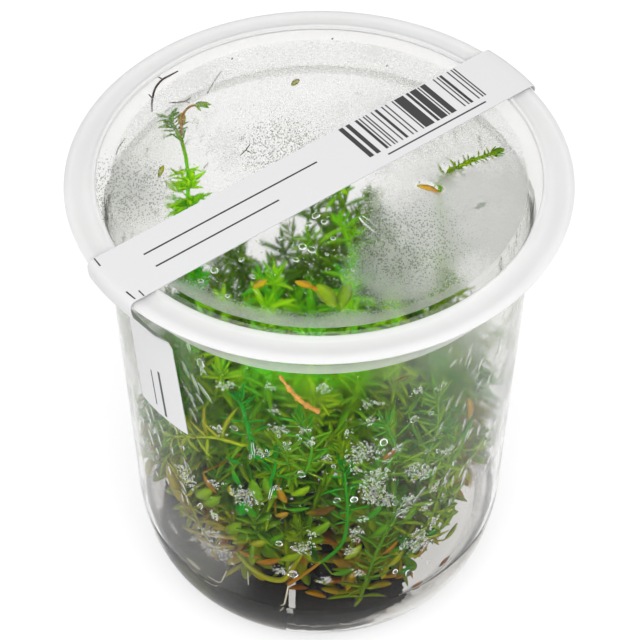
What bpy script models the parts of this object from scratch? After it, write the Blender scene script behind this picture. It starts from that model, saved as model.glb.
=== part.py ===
"""Rotala growing in a clear, lidded tissue-culture cup.

Metres, +Z up. The cup stands on z = 0 and its axis is the Z axis. The front of the
cup faces -Y. Everything is worked out from the driving dimensions below.
"""
import math
import random

import bmesh
import bpy
from mathutils import Matrix, Vector

# Driving dimensions
LID_RADIUS = 0.0505
LID_TOP = 0.109
GAP = 0.0003          # between pieces that touch in the real thing
SEGMENTS = 36         # around every turned piece

# Cup: a tapered wall, a round shoulder at its foot and a bead and a rim at its mouth
WALL = 0.0010
FLOOR = 0.0012
FOOT_WALL_RADIUS = 0.0403
TOP_WALL_RADIUS = 0.0431
SHOULDER_HEIGHT = 0.0268
SHOULDER_WIDTH = 0.0140
SHOULDER_POWER = 2.5  # 2 is an ellipse, more is squarer
SHOULDER_STEPS = 6
BEAD_TOP = 0.0990
BEAD_BOTTOM = 0.0970
BEAD_PROUD = 0.0005
NECK_INSET = 0.0004
RIM_TOP = 0.1074
RIM_THICKNESS = 0.0010
RIM_RADIUS = LID_RADIUS - 0.0013

# Lid: a flat panel inside a thin ridge, and a wide flange with a rolled edge
PANEL_DROP = 0.0007
PANEL_THICKNESS = 0.0006
FLANGE_DROP = 0.0004
RIDGE_RADIUS = 0.0447
RIDGE_HALF_WIDTH = 0.0004
ROLL_RADIUS = 0.0485
ROLL_ROUND = 0.0010
SKIRT_BOTTOM = LID_TOP - 0.0026
SKIRT_THICKNESS = 0.0008

# Label strip: over the lid, with a flap down the cup's left front
LABEL_WIDTH = 0.0141
LABEL_THICKNESS = 0.0003
LABEL_TURN = math.radians(38.0)
LABEL_FLAP_END = 0.0680
LABEL_FLAP_TOUCH = 0.0925
LABEL_HOOK_END = LID_TOP - 0.0016
LABEL_BEND = 0.0010    # how far in from the lid's edge the strip starts to turn down
LABEL_BRIDGE = 0.0060  # height above the touch where the flap has left the wall
LABEL_COLUMNS = 4

# Gel, and the two pieces of dark mat in it
GEL_TOP = 0.0175
MAT_TOP = 0.0150
MAT_SPLIT = -0.0059
MAT_SPLIT_WIDTH = 0.0018
MAT_LEFT_BACK = 0.0080
MAT_LEFT_END = -0.0345     # at the mat's top
MAT_LEFT_FOOT = -0.0150    # at the floor: this end is cut off slantwise
MAT_RIGHT_BACK = -0.0020
MAT_RIGHT_END = 0.0185
MAT_RIGHT_BOTTOM = 0.0092  # this piece hangs clear of the floor

# Stems: a staggered crowd that turns and leans together, so none crosses another
GROWTH_SEED = 11
STEM_SPACING = 0.0106
STEM_FIELD_RADIUS = 0.0325
STEM_RADIUS = 0.00065
STEM_START = GEL_TOP + GAP
STEM_SIDES = 4
STEM_NODES = 3
STEM_ROUTE_STEPS = 5
STEM_TWIST = math.radians(30.0)
STEM_LEAN = Vector((-0.0022, -0.0026))
STEM_SPREAD = 0.965
STEM_SWAY = 0.0008
STEM_MEAN_TOP = 0.0730
STEM_TOP_SLOPE = Vector((-0.05, -0.20))
STEM_TOP_SCATTER = 0.0070
TALL_CLUMP_CELL = (0.0185, 0.0140)
TALL_CLUMP_RADIUS = 0.0075
TALL_CLUMP_RISE = 0.0250

# Leaves and buds. A stage is a share of the length, then a width and a thickness factor
NODE_OFFSET = 0.9
LEAF_BASE = 0.0012
LEAF_REACH = 0.0040
LEAF_RISE = 0.0036
LEAF_STAGES = ((0.55, 1.5, 0.45), (0.45, 0.3, 0.45))
BUD_LENGTH = 0.0032
BUD_STAGES = ((0.5, 1.3, 1.3), (0.5, 0.3, 0.3))

# Loose root, and the two shoots that grow out of the crowd
LOOSE_ROOT_RADIUS = 0.00035
SHOOT_NODES = 5
SHOOT_BLEND = 0.0080

# Where those shoots start and run, and the routes of the loose bits
TALL_SHOOT_CELL = (-0.0212, 0.0)
TALL_SHOOT_ROUTE = (
    (-0.0236, -0.0110, 0.0760),
    (-0.0262, -0.0030, 0.0870),
    (-0.0266, 0.0068, 0.0970),
    (-0.0268, 0.0110, 0.1008),
    (-0.0280, 0.0150, 0.1035),
)
SIDE_SHOOT_CELL = (0.0265, -0.0092)
SIDE_SHOOT_ROUTE = (
    (0.0262, 0.0010, 0.0740),
    (0.0258, 0.0030, 0.0890),
    (0.0262, 0.0066, 0.0992),
    (0.0296, 0.0090, 0.1018),
    (0.0328, 0.0110, 0.1026),
)
FALLEN_STEM_ROUTE = (
    (-0.0275, -0.0200, 0.0205),
    (-0.0230, -0.0262, 0.0192),
    (-0.0170, -0.0310, 0.0190),
    (-0.0100, -0.0345, 0.0192),
    (-0.0050, -0.0350, 0.0215),
)
DEAD_STEM_ROUTE = (
    (-0.0080, -0.0402, 0.0950),
    (-0.0055, -0.0404, 0.0925),
    (-0.0022, -0.0404, 0.0890),
    (0.0010, -0.0402, 0.0860),
)
LOOSE_ROOT_ROUTE = (
    (-0.0330, 0.0160, 0.1068),
    (-0.0322, 0.0215, 0.1070),
    (-0.0300, 0.0250, 0.1070),
    (-0.0268, 0.0272, 0.1068),
)

rng = random.Random(GROWTH_SEED)


def clear_scene():
    for item in list(bpy.data.objects):
        bpy.data.objects.remove(item, do_unlink=True)


def collection(name, cutters=False):
    group = bpy.data.collections.new(name)
    bpy.context.scene.collection.children.link(group)
    group.hide_render = cutters
    return group


def material(name, colour, roughness, alpha=1.0, transmission=0.0):
    mat = bpy.data.materials.new(name)
    mat.use_nodes = True
    shader = mat.node_tree.nodes["Principled BSDF"]
    shader.inputs["Base Color"].default_value = (*colour, 1.0)
    shader.inputs["Roughness"].default_value = roughness
    shader.inputs["Metallic"].default_value = 0.0
    shader.inputs["Alpha"].default_value = alpha
    shader.inputs["Transmission Weight"].default_value = transmission
    mat.diffuse_color = (*colour, alpha)
    return mat


def add_object(name, mesh, group, mat=None):
    item = bpy.data.objects.new(name, mesh)
    group.objects.link(item)
    if mat:
        mesh.materials.append(mat)
    return item


def turned(name, profile, group, mat=None):
    """A turned solid: a profile of (radius, height) points that runs down its outer side."""
    mesh = bpy.data.meshes.new(name)
    edges = [(i, i + 1) for i in range(len(profile) - 1)]
    mesh.from_pydata([(r, 0.0, z) for r, z in profile], edges, [])
    item = add_object(name, mesh, group, mat)
    screw = item.modifiers.new("turn", 'SCREW')
    screw.axis = 'Z'
    screw.angle = 2.0 * math.pi
    screw.steps = SEGMENTS
    screw.render_steps = SEGMENTS
    screw.use_merge_vertices = True
    screw.merge_threshold = 0.00001
    return item


def wall_radius(z):
    """Outer radius of the tapered wall above the round shoulder."""
    share = (z - SHOULDER_HEIGHT) / (BEAD_BOTTOM - SHOULDER_HEIGHT)
    return FOOT_WALL_RADIUS + share * (TOP_WALL_RADIUS - FOOT_WALL_RADIUS)


def shell_radius(z, inset, bottom):
    """Radius of the shell that lies inset from the cup's outside and ends at height bottom."""
    if z >= SHOULDER_HEIGHT:
        return wall_radius(z) - inset
    drop = (SHOULDER_HEIGHT - z) / (SHOULDER_HEIGHT - bottom)
    bulge = max(0.0, 1.0 - drop ** SHOULDER_POWER) ** (1.0 / SHOULDER_POWER)
    return FOOT_WALL_RADIUS - inset - SHOULDER_WIDTH * (1.0 - bulge)


def shell_points(top, inset, bottom, steps=SHOULDER_STEPS):
    """Points down the shell from height top to its flat bottom, closest where it curves most."""
    points = []
    if top > SHOULDER_HEIGHT:
        points.append((wall_radius(top) - inset, top))
    for i in range(steps + 1):
        turn = 0.5 * math.pi * i / steps
        z = SHOULDER_HEIGHT - (SHOULDER_HEIGHT - bottom) * math.sin(turn) ** (2.0 / SHOULDER_POWER)
        if z < top - GAP:
            points.append((shell_radius(z, inset, bottom), z))
    if top <= SHOULDER_HEIGHT:
        points.insert(0, (shell_radius(top, inset, bottom), top))
    return points


def build_cup(group, mat):
    neck_outer = TOP_WALL_RADIUS - NECK_INSET
    inner = shell_points(BEAD_TOP, WALL, FLOOR)[::-1]
    bead_outer = TOP_WALL_RADIUS + BEAD_PROUD
    bead_middle = 0.5 * (BEAD_TOP + BEAD_BOTTOM)
    rim_bottom = RIM_TOP - RIM_THICKNESS
    profile = [(0.0, FLOOR)] + inner
    profile += [
        (neck_outer - WALL, RIM_TOP - 0.4 * RIM_THICKNESS),
        (neck_outer - 0.5 * WALL, RIM_TOP),
        (RIM_RADIUS - 0.3 * RIM_THICKNESS, RIM_TOP),
        (RIM_RADIUS, RIM_TOP - 0.3 * RIM_THICKNESS),
        (RIM_RADIUS, rim_bottom),
        (neck_outer + RIM_THICKNESS, rim_bottom),
        (neck_outer, rim_bottom - RIM_THICKNESS),
        (neck_outer, BEAD_TOP),
        (bead_outer, bead_middle + 0.25 * (BEAD_TOP - BEAD_BOTTOM)),
        (bead_outer, bead_middle - 0.25 * (BEAD_TOP - BEAD_BOTTOM)),
    ]
    profile += shell_points(BEAD_BOTTOM, 0.0, 0.0)
    profile.append((0.0, 0.0))
    return turned("cup", profile, group, mat)


def build_lid(group, mat):
    panel_top = LID_TOP - PANEL_DROP
    flange_top = LID_TOP - FLANGE_DROP
    under = panel_top - PANEL_THICKNESS
    skirt_inner = LID_RADIUS - SKIRT_THICKNESS
    profile = [
        (0.0, panel_top),
        (RIDGE_RADIUS - 2.0 * RIDGE_HALF_WIDTH, panel_top),
        (RIDGE_RADIUS - 0.5 * RIDGE_HALF_WIDTH, LID_TOP),
        (RIDGE_RADIUS + 0.5 * RIDGE_HALF_WIDTH, LID_TOP),
        (RIDGE_RADIUS + 2.0 * RIDGE_HALF_WIDTH, flange_top),
        (ROLL_RADIUS, flange_top),
        (LID_RADIUS - 0.6 * ROLL_ROUND, flange_top - 0.3 * ROLL_ROUND),
        (LID_RADIUS, flange_top - ROLL_ROUND),
        (LID_RADIUS - 0.1 * ROLL_ROUND, SKIRT_BOTTOM),
        (skirt_inner, SKIRT_BOTTOM),
        (skirt_inner, under),
        (0.0, under),
    ]
    return turned("lid", profile, group, mat)


def label_route():
    """Points (reach, height, round) along the strip. Round ones follow a circle about the axis."""
    top = LID_TOP + GAP
    edge = LID_RADIUS + 1.5 * GAP
    edge_top = LID_TOP - 0.7 * LABEL_BEND
    bridge = 0.5 * (TOP_WALL_RADIUS + LID_RADIUS)
    flap_middle = 0.5 * (LABEL_FLAP_END + LABEL_FLAP_TOUCH)
    return [
        (-(wall_radius(LABEL_FLAP_END) + GAP), LABEL_FLAP_END, True),
        (-(wall_radius(flap_middle) + GAP), flap_middle, True),
        (-(wall_radius(LABEL_FLAP_TOUCH) + GAP), LABEL_FLAP_TOUCH, True),
        (-bridge, LABEL_FLAP_TOUCH + LABEL_BRIDGE, True),
        (-(edge - GAP), SKIRT_BOTTOM - LABEL_BEND, True),
        (-edge, SKIRT_BOTTOM + 0.5 * LABEL_BEND, True),
        (-edge, edge_top, True),
        (-(edge - LABEL_BEND), top, True),
        (-RIDGE_RADIUS, top, False),
        (0.0, top, False),
        (RIDGE_RADIUS, top, False),
        (edge - LABEL_BEND, top, True),
        (edge, edge_top, True),
        (edge, LABEL_HOOK_END, True),
    ]


def build_label(group, mat):
    route = label_route()
    bm = bmesh.new()
    bmesh.ops.create_grid(bm, x_segments=len(route) - 1, y_segments=LABEL_COLUMNS, size=1.0)
    for vert in bm.verts:
        index = round((vert.co.x + 1.0) * 0.5 * (len(route) - 1))
        across = vert.co.y * 0.5 * LABEL_WIDTH
        reach, height, follows = route[index]
        if follows:
            reach = math.copysign(math.sqrt(reach * reach - across * across), reach)
        vert.co = (reach, across, height)
    bmesh.ops.rotate(bm, verts=bm.verts, cent=(0.0, 0.0, 0.0),
                     matrix=Matrix.Rotation(LABEL_TURN, 3, 'Z'))
    bmesh.ops.recalc_face_normals(bm, faces=bm.faces)
    if sum(face.normal.z for face in bm.faces) < 0.0:
        bmesh.ops.reverse_faces(bm, faces=bm.faces)
    mesh = bpy.data.meshes.new("label")
    bm.to_mesh(mesh)
    bm.free()
    item = add_object("label", mesh, group, mat)
    thick = item.modifiers.new("paper", 'SOLIDIFY')
    thick.thickness = LABEL_THICKNESS
    thick.offset = 1.0
    return item


def box(name, low, high, group, foot=0.0):
    """A box cutter between two corners. Its left end stands in by foot at its lower edge."""
    bm = bmesh.new()
    bmesh.ops.create_cube(bm, size=1.0)
    for vert in bm.verts:
        left_foot = foot * (0.5 - vert.co.x) * (0.5 - vert.co.z)
        vert.co = [a + (c + 0.5) * (b - a) for a, b, c in zip(low, high, vert.co)]
        vert.co.x += left_foot
    mesh = bpy.data.meshes.new(name)
    bm.to_mesh(mesh)
    bm.free()
    item = add_object(name, mesh, group)
    item.display_type = 'WIRE'
    item.hide_render = True
    return item


def cut(item, cutter, operation):
    boolean = item.modifiers.new(cutter.name, 'BOOLEAN')
    boolean.operation = operation
    boolean.solver = 'EXACT'
    boolean.object = cutter


def mat_regions():
    """Box of each mat piece, as (x low, x high, y low, y high, z low, slant per height)."""
    reach = FOOT_WALL_RADIUS
    half = 0.5 * MAT_SPLIT_WIDTH
    slant = (MAT_LEFT_FOOT - MAT_LEFT_END) / MAT_TOP
    return {
        "mat_left": (MAT_LEFT_END, MAT_SPLIT - half, -reach, MAT_LEFT_BACK, 0.0, slant),
        "mat_right": (MAT_SPLIT + half, MAT_RIGHT_END, -reach, MAT_RIGHT_BACK,
                      MAT_RIGHT_BOTTOM, 0.0),
    }


def build_mats(group, cutters, mat):
    inset = WALL + GAP
    bottom = FLOOR + GAP
    profile = [(0.0, MAT_TOP)] + shell_points(MAT_TOP, inset, bottom) + [(0.0, bottom)]
    for name, (x0, x1, y0, y1, z0, slant) in mat_regions().items():
        item = turned(name, profile, group, mat)
        region = box(name + "_region", (x0, y0, z0), (x1, y1, MAT_TOP + GAP), cutters,
                     slant * (MAT_TOP + GAP))
        cut(item, region, 'INTERSECT')


def build_gel(group, cutters, mat):
    inset = WALL + GAP
    bottom = FLOOR + GAP
    profile = [(0.0, GEL_TOP)] + shell_points(GEL_TOP, inset, bottom) + [(0.0, bottom)]
    item = turned("gel", profile, group, mat)
    for name, (x0, x1, y0, y1, z0, slant) in mat_regions().items():
        pocket = box(name + "_pocket", (x0 - 2.0 * GAP, y0 - GAP, z0 - GAP),
                     (x1 + GAP, y1 + GAP, MAT_TOP + GAP), cutters,
                     slant * (MAT_TOP + 2.0 * GAP - z0))
        cut(item, pocket, 'DIFFERENCE')
    return item


def stem_cells():
    """Staggered grid of places where stems leave the gel."""
    cells = []
    row_step = STEM_SPACING * math.sqrt(0.75)
    rows = int(STEM_FIELD_RADIUS / row_step) + 1
    for row in range(-rows, rows + 1):
        y = row * row_step
        shift = 0.5 * STEM_SPACING * (row % 2)
        for column in range(-rows, rows + 1):
            x = column * STEM_SPACING + shift
            if math.hypot(x, y) <= STEM_FIELD_RADIUS:
                cells.append((x, y))
    return cells


def sway(x, y, z, phase):
    """Where a stem that starts at (x, y) is at height z. All stems turn and lean together."""
    rise = (z - STEM_START) / (STEM_MEAN_TOP - STEM_START)
    turn = STEM_TWIST * rise
    spread = 1.0 + (STEM_SPREAD - 1.0) * rise
    wave = STEM_SWAY * math.sin(math.pi * rise)
    px = spread * (x * math.cos(turn) - y * math.sin(turn)) + STEM_LEAN.x * rise
    py = spread * (x * math.sin(turn) + y * math.cos(turn)) + STEM_LEAN.y * rise
    return Vector((px + wave * math.cos(phase), py + wave * math.sin(phase), z))


def ring_points(route, nodes):
    """Ring centres up a stem: its foot, then two close rings at each leaf node."""
    lengths = [0.0]
    for a, b in zip(route, route[1:]):
        lengths.append(lengths[-1] + (b - a).length)

    def at(distance):
        piece = next((i for i in range(1, len(route)) if lengths[i] >= distance), len(route) - 1)
        share = (distance - lengths[piece - 1]) / (lengths[piece] - lengths[piece - 1])
        return route[piece - 1].lerp(route[piece], share)

    rings = [route[0]]
    for node in range(nodes):
        height = lengths[-1] * (node + NODE_OFFSET) / (nodes - 1 + NODE_OFFSET)
        rings.append(at(height - LEAF_BASE))
        rings.append(at(height))
    return rings


def pull(bm, face, shift, across, stages):
    """Extrudes a face along shift in stages of (share of shift, width, thickness)."""
    across = across.normalized()
    for share, width, thickness in stages:
        face = bmesh.ops.extrude_discrete_faces(bm, faces=[face])["faces"][0]
        bmesh.ops.translate(bm, verts=face.verts, vec=shift * share)
        centre = face.calc_center_median()
        for vert in face.verts:
            offset = vert.co - centre
            sideways = across * offset.dot(across)
            vert.co = centre + sideways * width + (offset - sideways) * thickness


def build_stem(name, route, group, mat, nodes=STEM_NODES):
    """One closed mesh: a stem with a crossed pair of leaves at each node and a bud on top."""
    rings = ring_points(route, nodes)
    heading = (rings[1] - rings[0]).normalized()
    spin = Matrix.Rotation(rng.uniform(0.0, 0.5 * math.pi), 4, 'Z')
    place = Matrix.Translation(0.5 * (rings[0] + rings[1]))
    bm = bmesh.new()
    bmesh.ops.create_cone(bm, cap_ends=True, segments=STEM_SIDES, radius1=STEM_RADIUS,
                          radius2=STEM_RADIUS, depth=(rings[1] - rings[0]).length,
                          matrix=place @ heading.to_track_quat('Z', 'Y').to_matrix().to_4x4() @ spin)
    top = max(bm.faces, key=lambda face: face.calc_center_median().dot(heading))
    leaf_faces = []
    for index in range(1, len(rings) - 1):
        onward = (rings[index + 1] - rings[index]).normalized()
        top = bmesh.ops.extrude_discrete_faces(bm, faces=[top])["faces"][0]
        bmesh.ops.translate(bm, verts=top.verts, vec=rings[index + 1] - rings[index])
        bmesh.ops.rotate(bm, verts=top.verts, cent=rings[index + 1],
                         matrix=heading.rotation_difference(onward).to_matrix())
        heading = onward
        if index % 2:
            sides = [face for edge in top.edges for face in edge.link_faces if face is not top]
            leaf_faces += [(face, heading) for face in sides[(index // 2) % 2::2]]
    for face, along in leaf_faces:
        outward = face.normal.copy()
        pull(bm, face, outward * LEAF_REACH + along * LEAF_RISE, outward.cross(along), LEAF_STAGES)
    pull(bm, top, heading * BUD_LENGTH, heading.orthogonal(), BUD_STAGES)
    mesh = bpy.data.meshes.new(name)
    bm.to_mesh(mesh)
    bm.free()
    return add_object(name, mesh, group, mat)


def build_rod(name, route, radius, group, mat):
    """A thin round bit of stem or root along a few points."""
    curve = bpy.data.curves.new(name, 'CURVE')
    curve.dimensions = '3D'
    curve.bevel_depth = radius
    curve.bevel_resolution = 1
    curve.use_fill_caps = True
    spline = curve.splines.new('POLY')
    spline.points.add(len(route) - 1)
    for point, place in zip(spline.points, route):
        point.co = (*place, 1.0)
    return add_object(name, curve, group, mat)


def near(cell, place):
    return math.hypot(cell[0] - place[0], cell[1] - place[1]) < 0.5 * STEM_SPACING


def build_stems(group, mat):
    shoots = ((TALL_SHOOT_CELL, TALL_SHOOT_ROUTE), (SIDE_SHOOT_CELL, SIDE_SHOOT_ROUTE))
    for number, (x, y) in enumerate(stem_cells(), start=1):
        phase = rng.uniform(0.0, 2.0 * math.pi)
        scatter = rng.uniform(-STEM_TOP_SCATTER, STEM_TOP_SCATTER)
        clump = math.hypot(x - TALL_CLUMP_CELL[0], y - TALL_CLUMP_CELL[1]) / TALL_CLUMP_RADIUS
        top = STEM_MEAN_TOP + STEM_TOP_SLOPE.dot(Vector((x, y))) + scatter
        top += TALL_CLUMP_RISE * math.exp(-clump * clump)
        ending = [route for cell, route in shoots if near((x, y), cell)]
        if ending:
            top = ending[0][0][2] - SHOOT_BLEND
        step = (top - STEM_START) / STEM_ROUTE_STEPS
        heights = [STEM_START + step * i for i in range(STEM_ROUTE_STEPS + 1)]
        route = [sway(x, y, z, phase) for z in heights]
        nodes = STEM_NODES
        if ending:
            route += [Vector(point) for point in ending[0]]
            nodes = SHOOT_NODES
        build_stem(f"stem_{number:02d}", route, group, mat, nodes)


def main():
    clear_scene()
    parts = collection("rotala_cup")
    cutters = collection("cutters", cutters=True)
    cup_plastic = material("cup_plastic", (0.90, 0.90, 0.89), 0.12, alpha=0.35, transmission=0.9)
    lid_plastic = material("lid_plastic", (0.93, 0.93, 0.93), 0.25, alpha=0.5, transmission=0.6)
    paper = material("label_paper", (0.97, 0.97, 0.97), 0.6)
    jelly = material("clear_gel", (0.88, 0.87, 0.84), 0.08, alpha=0.4, transmission=0.9)
    dark_mat = material("dark_mat", (0.045, 0.043, 0.040), 0.9)
    green = material("rotala_green", (0.16, 0.36, 0.03), 0.45)
    withered = material("withered_brown", (0.35, 0.17, 0.06), 0.6)

    build_cup(parts, cup_plastic)
    build_lid(parts, lid_plastic)
    build_label(parts, paper)
    build_gel(parts, cutters, jelly)
    build_mats(parts, cutters, dark_mat)
    build_stems(parts, green)
    build_rod("fallen_stem", FALLEN_STEM_ROUTE, STEM_RADIUS, parts, green)
    build_rod("dead_stem", DEAD_STEM_ROUTE, STEM_RADIUS, parts, withered)
    build_rod("loose_root", LOOSE_ROOT_ROUTE, LOOSE_ROOT_RADIUS, parts, withered)


main()
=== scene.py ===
"""Rotala in a clear, lidded culture cup: a detailed model on the packed frame.

The file is laid out as an add-on: settings, one operator for each piece or group of like
pieces, and a panel. Metres, +Z up. The cup stands on z = 0 with its axis on Z, front at -Y.
"""
import math
import random

import bpy
import numpy as np
from mathutils import Matrix, Vector, kdtree, noise


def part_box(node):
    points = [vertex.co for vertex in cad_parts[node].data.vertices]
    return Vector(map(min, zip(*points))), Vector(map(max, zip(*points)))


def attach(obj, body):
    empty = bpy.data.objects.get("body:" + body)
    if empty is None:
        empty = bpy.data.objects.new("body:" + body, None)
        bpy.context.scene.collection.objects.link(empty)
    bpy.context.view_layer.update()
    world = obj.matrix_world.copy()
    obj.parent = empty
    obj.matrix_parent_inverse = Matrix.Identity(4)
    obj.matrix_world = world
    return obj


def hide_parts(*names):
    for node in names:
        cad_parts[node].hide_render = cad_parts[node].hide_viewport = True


bl_info = {
    "name": "Rotala Culture Cup",
    "version": (1, 0, 0),
    "blender": (4, 5, 0),
    "location": "View3D > Sidebar > Rotala Cup",
    "description": "Builds rotala growing in a clear cup with a lid, gel, mats and condensation",
    "category": "Add Mesh",
}

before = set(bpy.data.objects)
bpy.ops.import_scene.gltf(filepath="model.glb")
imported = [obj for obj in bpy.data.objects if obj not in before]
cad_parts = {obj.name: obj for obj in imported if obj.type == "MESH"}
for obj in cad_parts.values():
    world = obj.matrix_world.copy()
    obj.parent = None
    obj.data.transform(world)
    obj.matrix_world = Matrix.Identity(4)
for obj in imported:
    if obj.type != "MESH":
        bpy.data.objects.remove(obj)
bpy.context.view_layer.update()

# Shapes shared with the frame
LID_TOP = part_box("label")[1].z - 0.0006
LID_RADIUS = 0.0505
WALL = 0.0010
FLOOR = 0.0012
FOOT_WALL_RADIUS = 0.0403
TOP_WALL_RADIUS = 0.0431
SHOULDER_HEIGHT = 0.0268
SHOULDER_WIDTH = 0.0140
SHOULDER_POWER = 2.5
BEAD_TOP = 0.0990
BEAD_BOTTOM = 0.0970
RIM_TOP = 0.1074
RIM_RADIUS = LID_RADIUS - 0.0013
PANEL_UNDER = LID_TOP - 0.0013
RIDGE_RADIUS = 0.0447
MILKY_RADIUS = 0.0466
GEL_TOP = 0.0175
MAT_TOP = 0.0150
MAT_SPLIT = -0.0059
MAT_SPLIT_WIDTH = 0.0018
MAT_LEFT_BACK = 0.0080
MAT_RIGHT_BACK = -0.0020
MAT_RIGHT_END = 0.0185
MAT_RIGHT_BOTTOM = 0.0092
MAT_LEFT_END = -0.0345
MAT_LEFT_FOOT = -0.0150
LABEL_TURN = math.radians(38.0)

# How the crowd of stems stands, as in the frame
GROWTH_SEED = 11
STEM_SPACING = 0.0106
STEM_FIELD_RADIUS = 0.0325
STEM_START = GEL_TOP + 0.0003
STEM_ROUTE_STEPS = 5
STEM_TWIST = math.radians(30.0)
STEM_LEAN = Vector((-0.0022, -0.0026))
STEM_SPREAD = 0.965
STEM_SWAY = 0.0008
STEM_MEAN_TOP = 0.0730
STEM_TOP_SLOPE = Vector((-0.05, -0.20))
STEM_TOP_SCATTER = 0.0070
TALL_CLUMP_CELL = (0.0185, 0.0140)
TALL_CLUMP_RADIUS = 0.0075
TALL_CLUMP_RISE = 0.0250
SHOOT_BLEND = 0.0080
TALL_SHOOT_CELL = (-0.0212, 0.0)
TALL_SHOOT_ROUTE = ((-0.0236, -0.0110, 0.0760), (-0.0262, -0.0030, 0.0870),
                    (-0.0266, 0.0068, 0.0970), (-0.0268, 0.0110, 0.1008),
                    (-0.0280, 0.0150, 0.1035))
SIDE_SHOOT_CELL = (0.0265, -0.0092)
SIDE_SHOOT_ROUTE = ((0.0262, 0.0010, 0.0740), (0.0258, 0.0030, 0.0890),
                    (0.0262, 0.0066, 0.0992), (0.0296, 0.0090, 0.1018),
                    (0.0328, 0.0110, 0.1026))
# The same shoot's end, arched up until it runs along under the lid
SIDE_SHOOT_ARCH = ((0.0262, 0.0010, 0.0740), (0.0252, 0.0026, 0.0890), (0.0242, 0.0042, 0.0990),
                   (0.0255, 0.0032, 0.1050), (0.0300, 0.0052, 0.1067), (0.0345, 0.0073, 0.1070))

# Leaf tints, from dead to deep green
DEAD, GOLD, YELLOW, LIME, GREEN, EMERALD = 0.0, 0.2, 0.38, 0.55, 0.75, 1.0

# Where fog and beads under the lid end, and the gaps that leaves and beads keep to the plastic
MOUTH_RADIUS = 0.0411
CLEARANCE = 0.00005
HAIR = 0.00002

# Steps of the turned shapes, of smooth curves and round the rods
WALL_LEVELS = 4
EDGE_STEP = 0.0003
SHOULDER_STEPS = 18
CURVE_STEPS = 12
ROD_ROUNDNESS = 2
GEL_SIDES = 144
MAT_SIDES = 120
MAT_VOXEL = 0.0005

UP = Vector((0.0, 0.0, 1.0))


# Shared sizes of the cup

def wall_radius(z):
    """Outer radius of the cup at height z."""
    if z >= SHOULDER_HEIGHT:
        share = (z - SHOULDER_HEIGHT) / (BEAD_BOTTOM - SHOULDER_HEIGHT)
        return FOOT_WALL_RADIUS + share * (TOP_WALL_RADIUS - FOOT_WALL_RADIUS)
    return shell_radius(z, 0.0, 0.0)


def shell_radius(z, inset, bottom):
    """Radius at height z of the shell that lies inset from the outside and ends at bottom."""
    if z >= SHOULDER_HEIGHT:
        return wall_radius(z) - inset
    drop = min(1.0, (SHOULDER_HEIGHT - z) / (SHOULDER_HEIGHT - bottom))
    bulge = (1.0 - drop ** SHOULDER_POWER) ** (1.0 / SHOULDER_POWER)
    return FOOT_WALL_RADIUS - inset - SHOULDER_WIDTH * (1.0 - bulge)


def inside_radius(z):
    """Radius of the cup's inner face at height z."""
    return shell_radius(max(z, FLOOR), WALL, FLOOR)


def shell_points(top, inset, bottom, steps):
    """Points up the shell from its flat bottom to height top."""
    points = []
    for i in range(steps + 1):
        turn = 0.5 * math.pi * (1.0 - i / steps)
        z = SHOULDER_HEIGHT - (SHOULDER_HEIGHT - bottom) * math.sin(turn) ** (2.0 / SHOULDER_POWER)
        if z < top - 0.0002:
            points.append((shell_radius(z, inset, bottom), z))
    if top > SHOULDER_HEIGHT:
        for i in range(1, WALL_LEVELS + 1):
            z = SHOULDER_HEIGHT + (top - SHOULDER_HEIGHT) * i / WALL_LEVELS
            if i == WALL_LEVELS:
                points.append((wall_radius(z - EDGE_STEP) - inset, z - EDGE_STEP))
            points.append((wall_radius(z) - inset, z))
    else:
        points.append((shell_radius(top, inset, bottom), top))
    return points


def on_wall(turn, height, inset=0.0):
    """A point on the cup's inner face: degrees from the front, then height in metres."""
    radius = inside_radius(height) - inset
    angle = math.radians(turn)
    return Vector((radius * math.sin(angle), -radius * math.cos(angle), height))


# Modelling by hand

def deselect_all():
    """Leaves edit mode and deselects every object."""
    if bpy.context.mode != 'OBJECT':
        bpy.ops.object.mode_set(mode='OBJECT')
    bpy.ops.object.select_all(action='DESELECT')


def pick(*pieces):
    """Selects only these pieces and makes the first one active."""
    deselect_all()
    for piece in pieces:
        piece.select_set(True)
    bpy.context.view_layer.objects.active = pieces[0]


def edit_all():
    """Enters edit mode with everything selected."""
    bpy.ops.object.mode_set(mode='EDIT')
    bpy.ops.mesh.select_all(action='SELECT')


def face_outwards():
    """Turns every face outwards and leaves edit mode."""
    bpy.ops.mesh.select_all(action='SELECT')
    bpy.ops.mesh.normals_make_consistent(inside=False)
    bpy.ops.object.mode_set(mode='OBJECT')


def primitive(name, add, **values):
    """Adds a primitive, names it and puts its place into its mesh."""
    deselect_all()
    add(**values)
    piece = bpy.context.object
    piece.name = name
    piece.data.name = name
    bpy.ops.object.transform_apply(location=True, rotation=True, scale=True)
    return piece


def select_faces(piece, wanted):
    """Selects the faces for which wanted(centre, normal) is true."""
    bpy.ops.object.mode_set(mode='EDIT')
    bpy.ops.mesh.select_mode(type='FACE')
    bpy.ops.mesh.select_all(action='DESELECT')
    bpy.ops.object.mode_set(mode='OBJECT')
    for face in piece.data.polygons:
        face.select = wanted(face.center, face.normal)
    bpy.ops.object.mode_set(mode='EDIT')


def turned(name, profile, steps):
    """A closed turned form: a disc that is extruded and resized ring by ring."""
    radius, height = profile[0]
    piece = primitive(name, bpy.ops.mesh.primitive_circle_add, vertices=steps, radius=radius,
                      fill_type='NGON', location=(0.0, 0.0, height))
    edit_all()
    for (r0, z0), (r1, z1) in zip(profile, profile[1:]):
        bpy.ops.mesh.extrude_region_move(TRANSFORM_OT_translate={"value": (0.0, 0.0, z1 - z0)})
        bpy.ops.transform.resize(value=(r1 / r0, r1 / r0, 1.0), center_override=(0.0, 0.0, z1))
    face_outwards()
    bpy.ops.object.shade_smooth_by_angle(angle=math.radians(40.0))
    return piece


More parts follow.
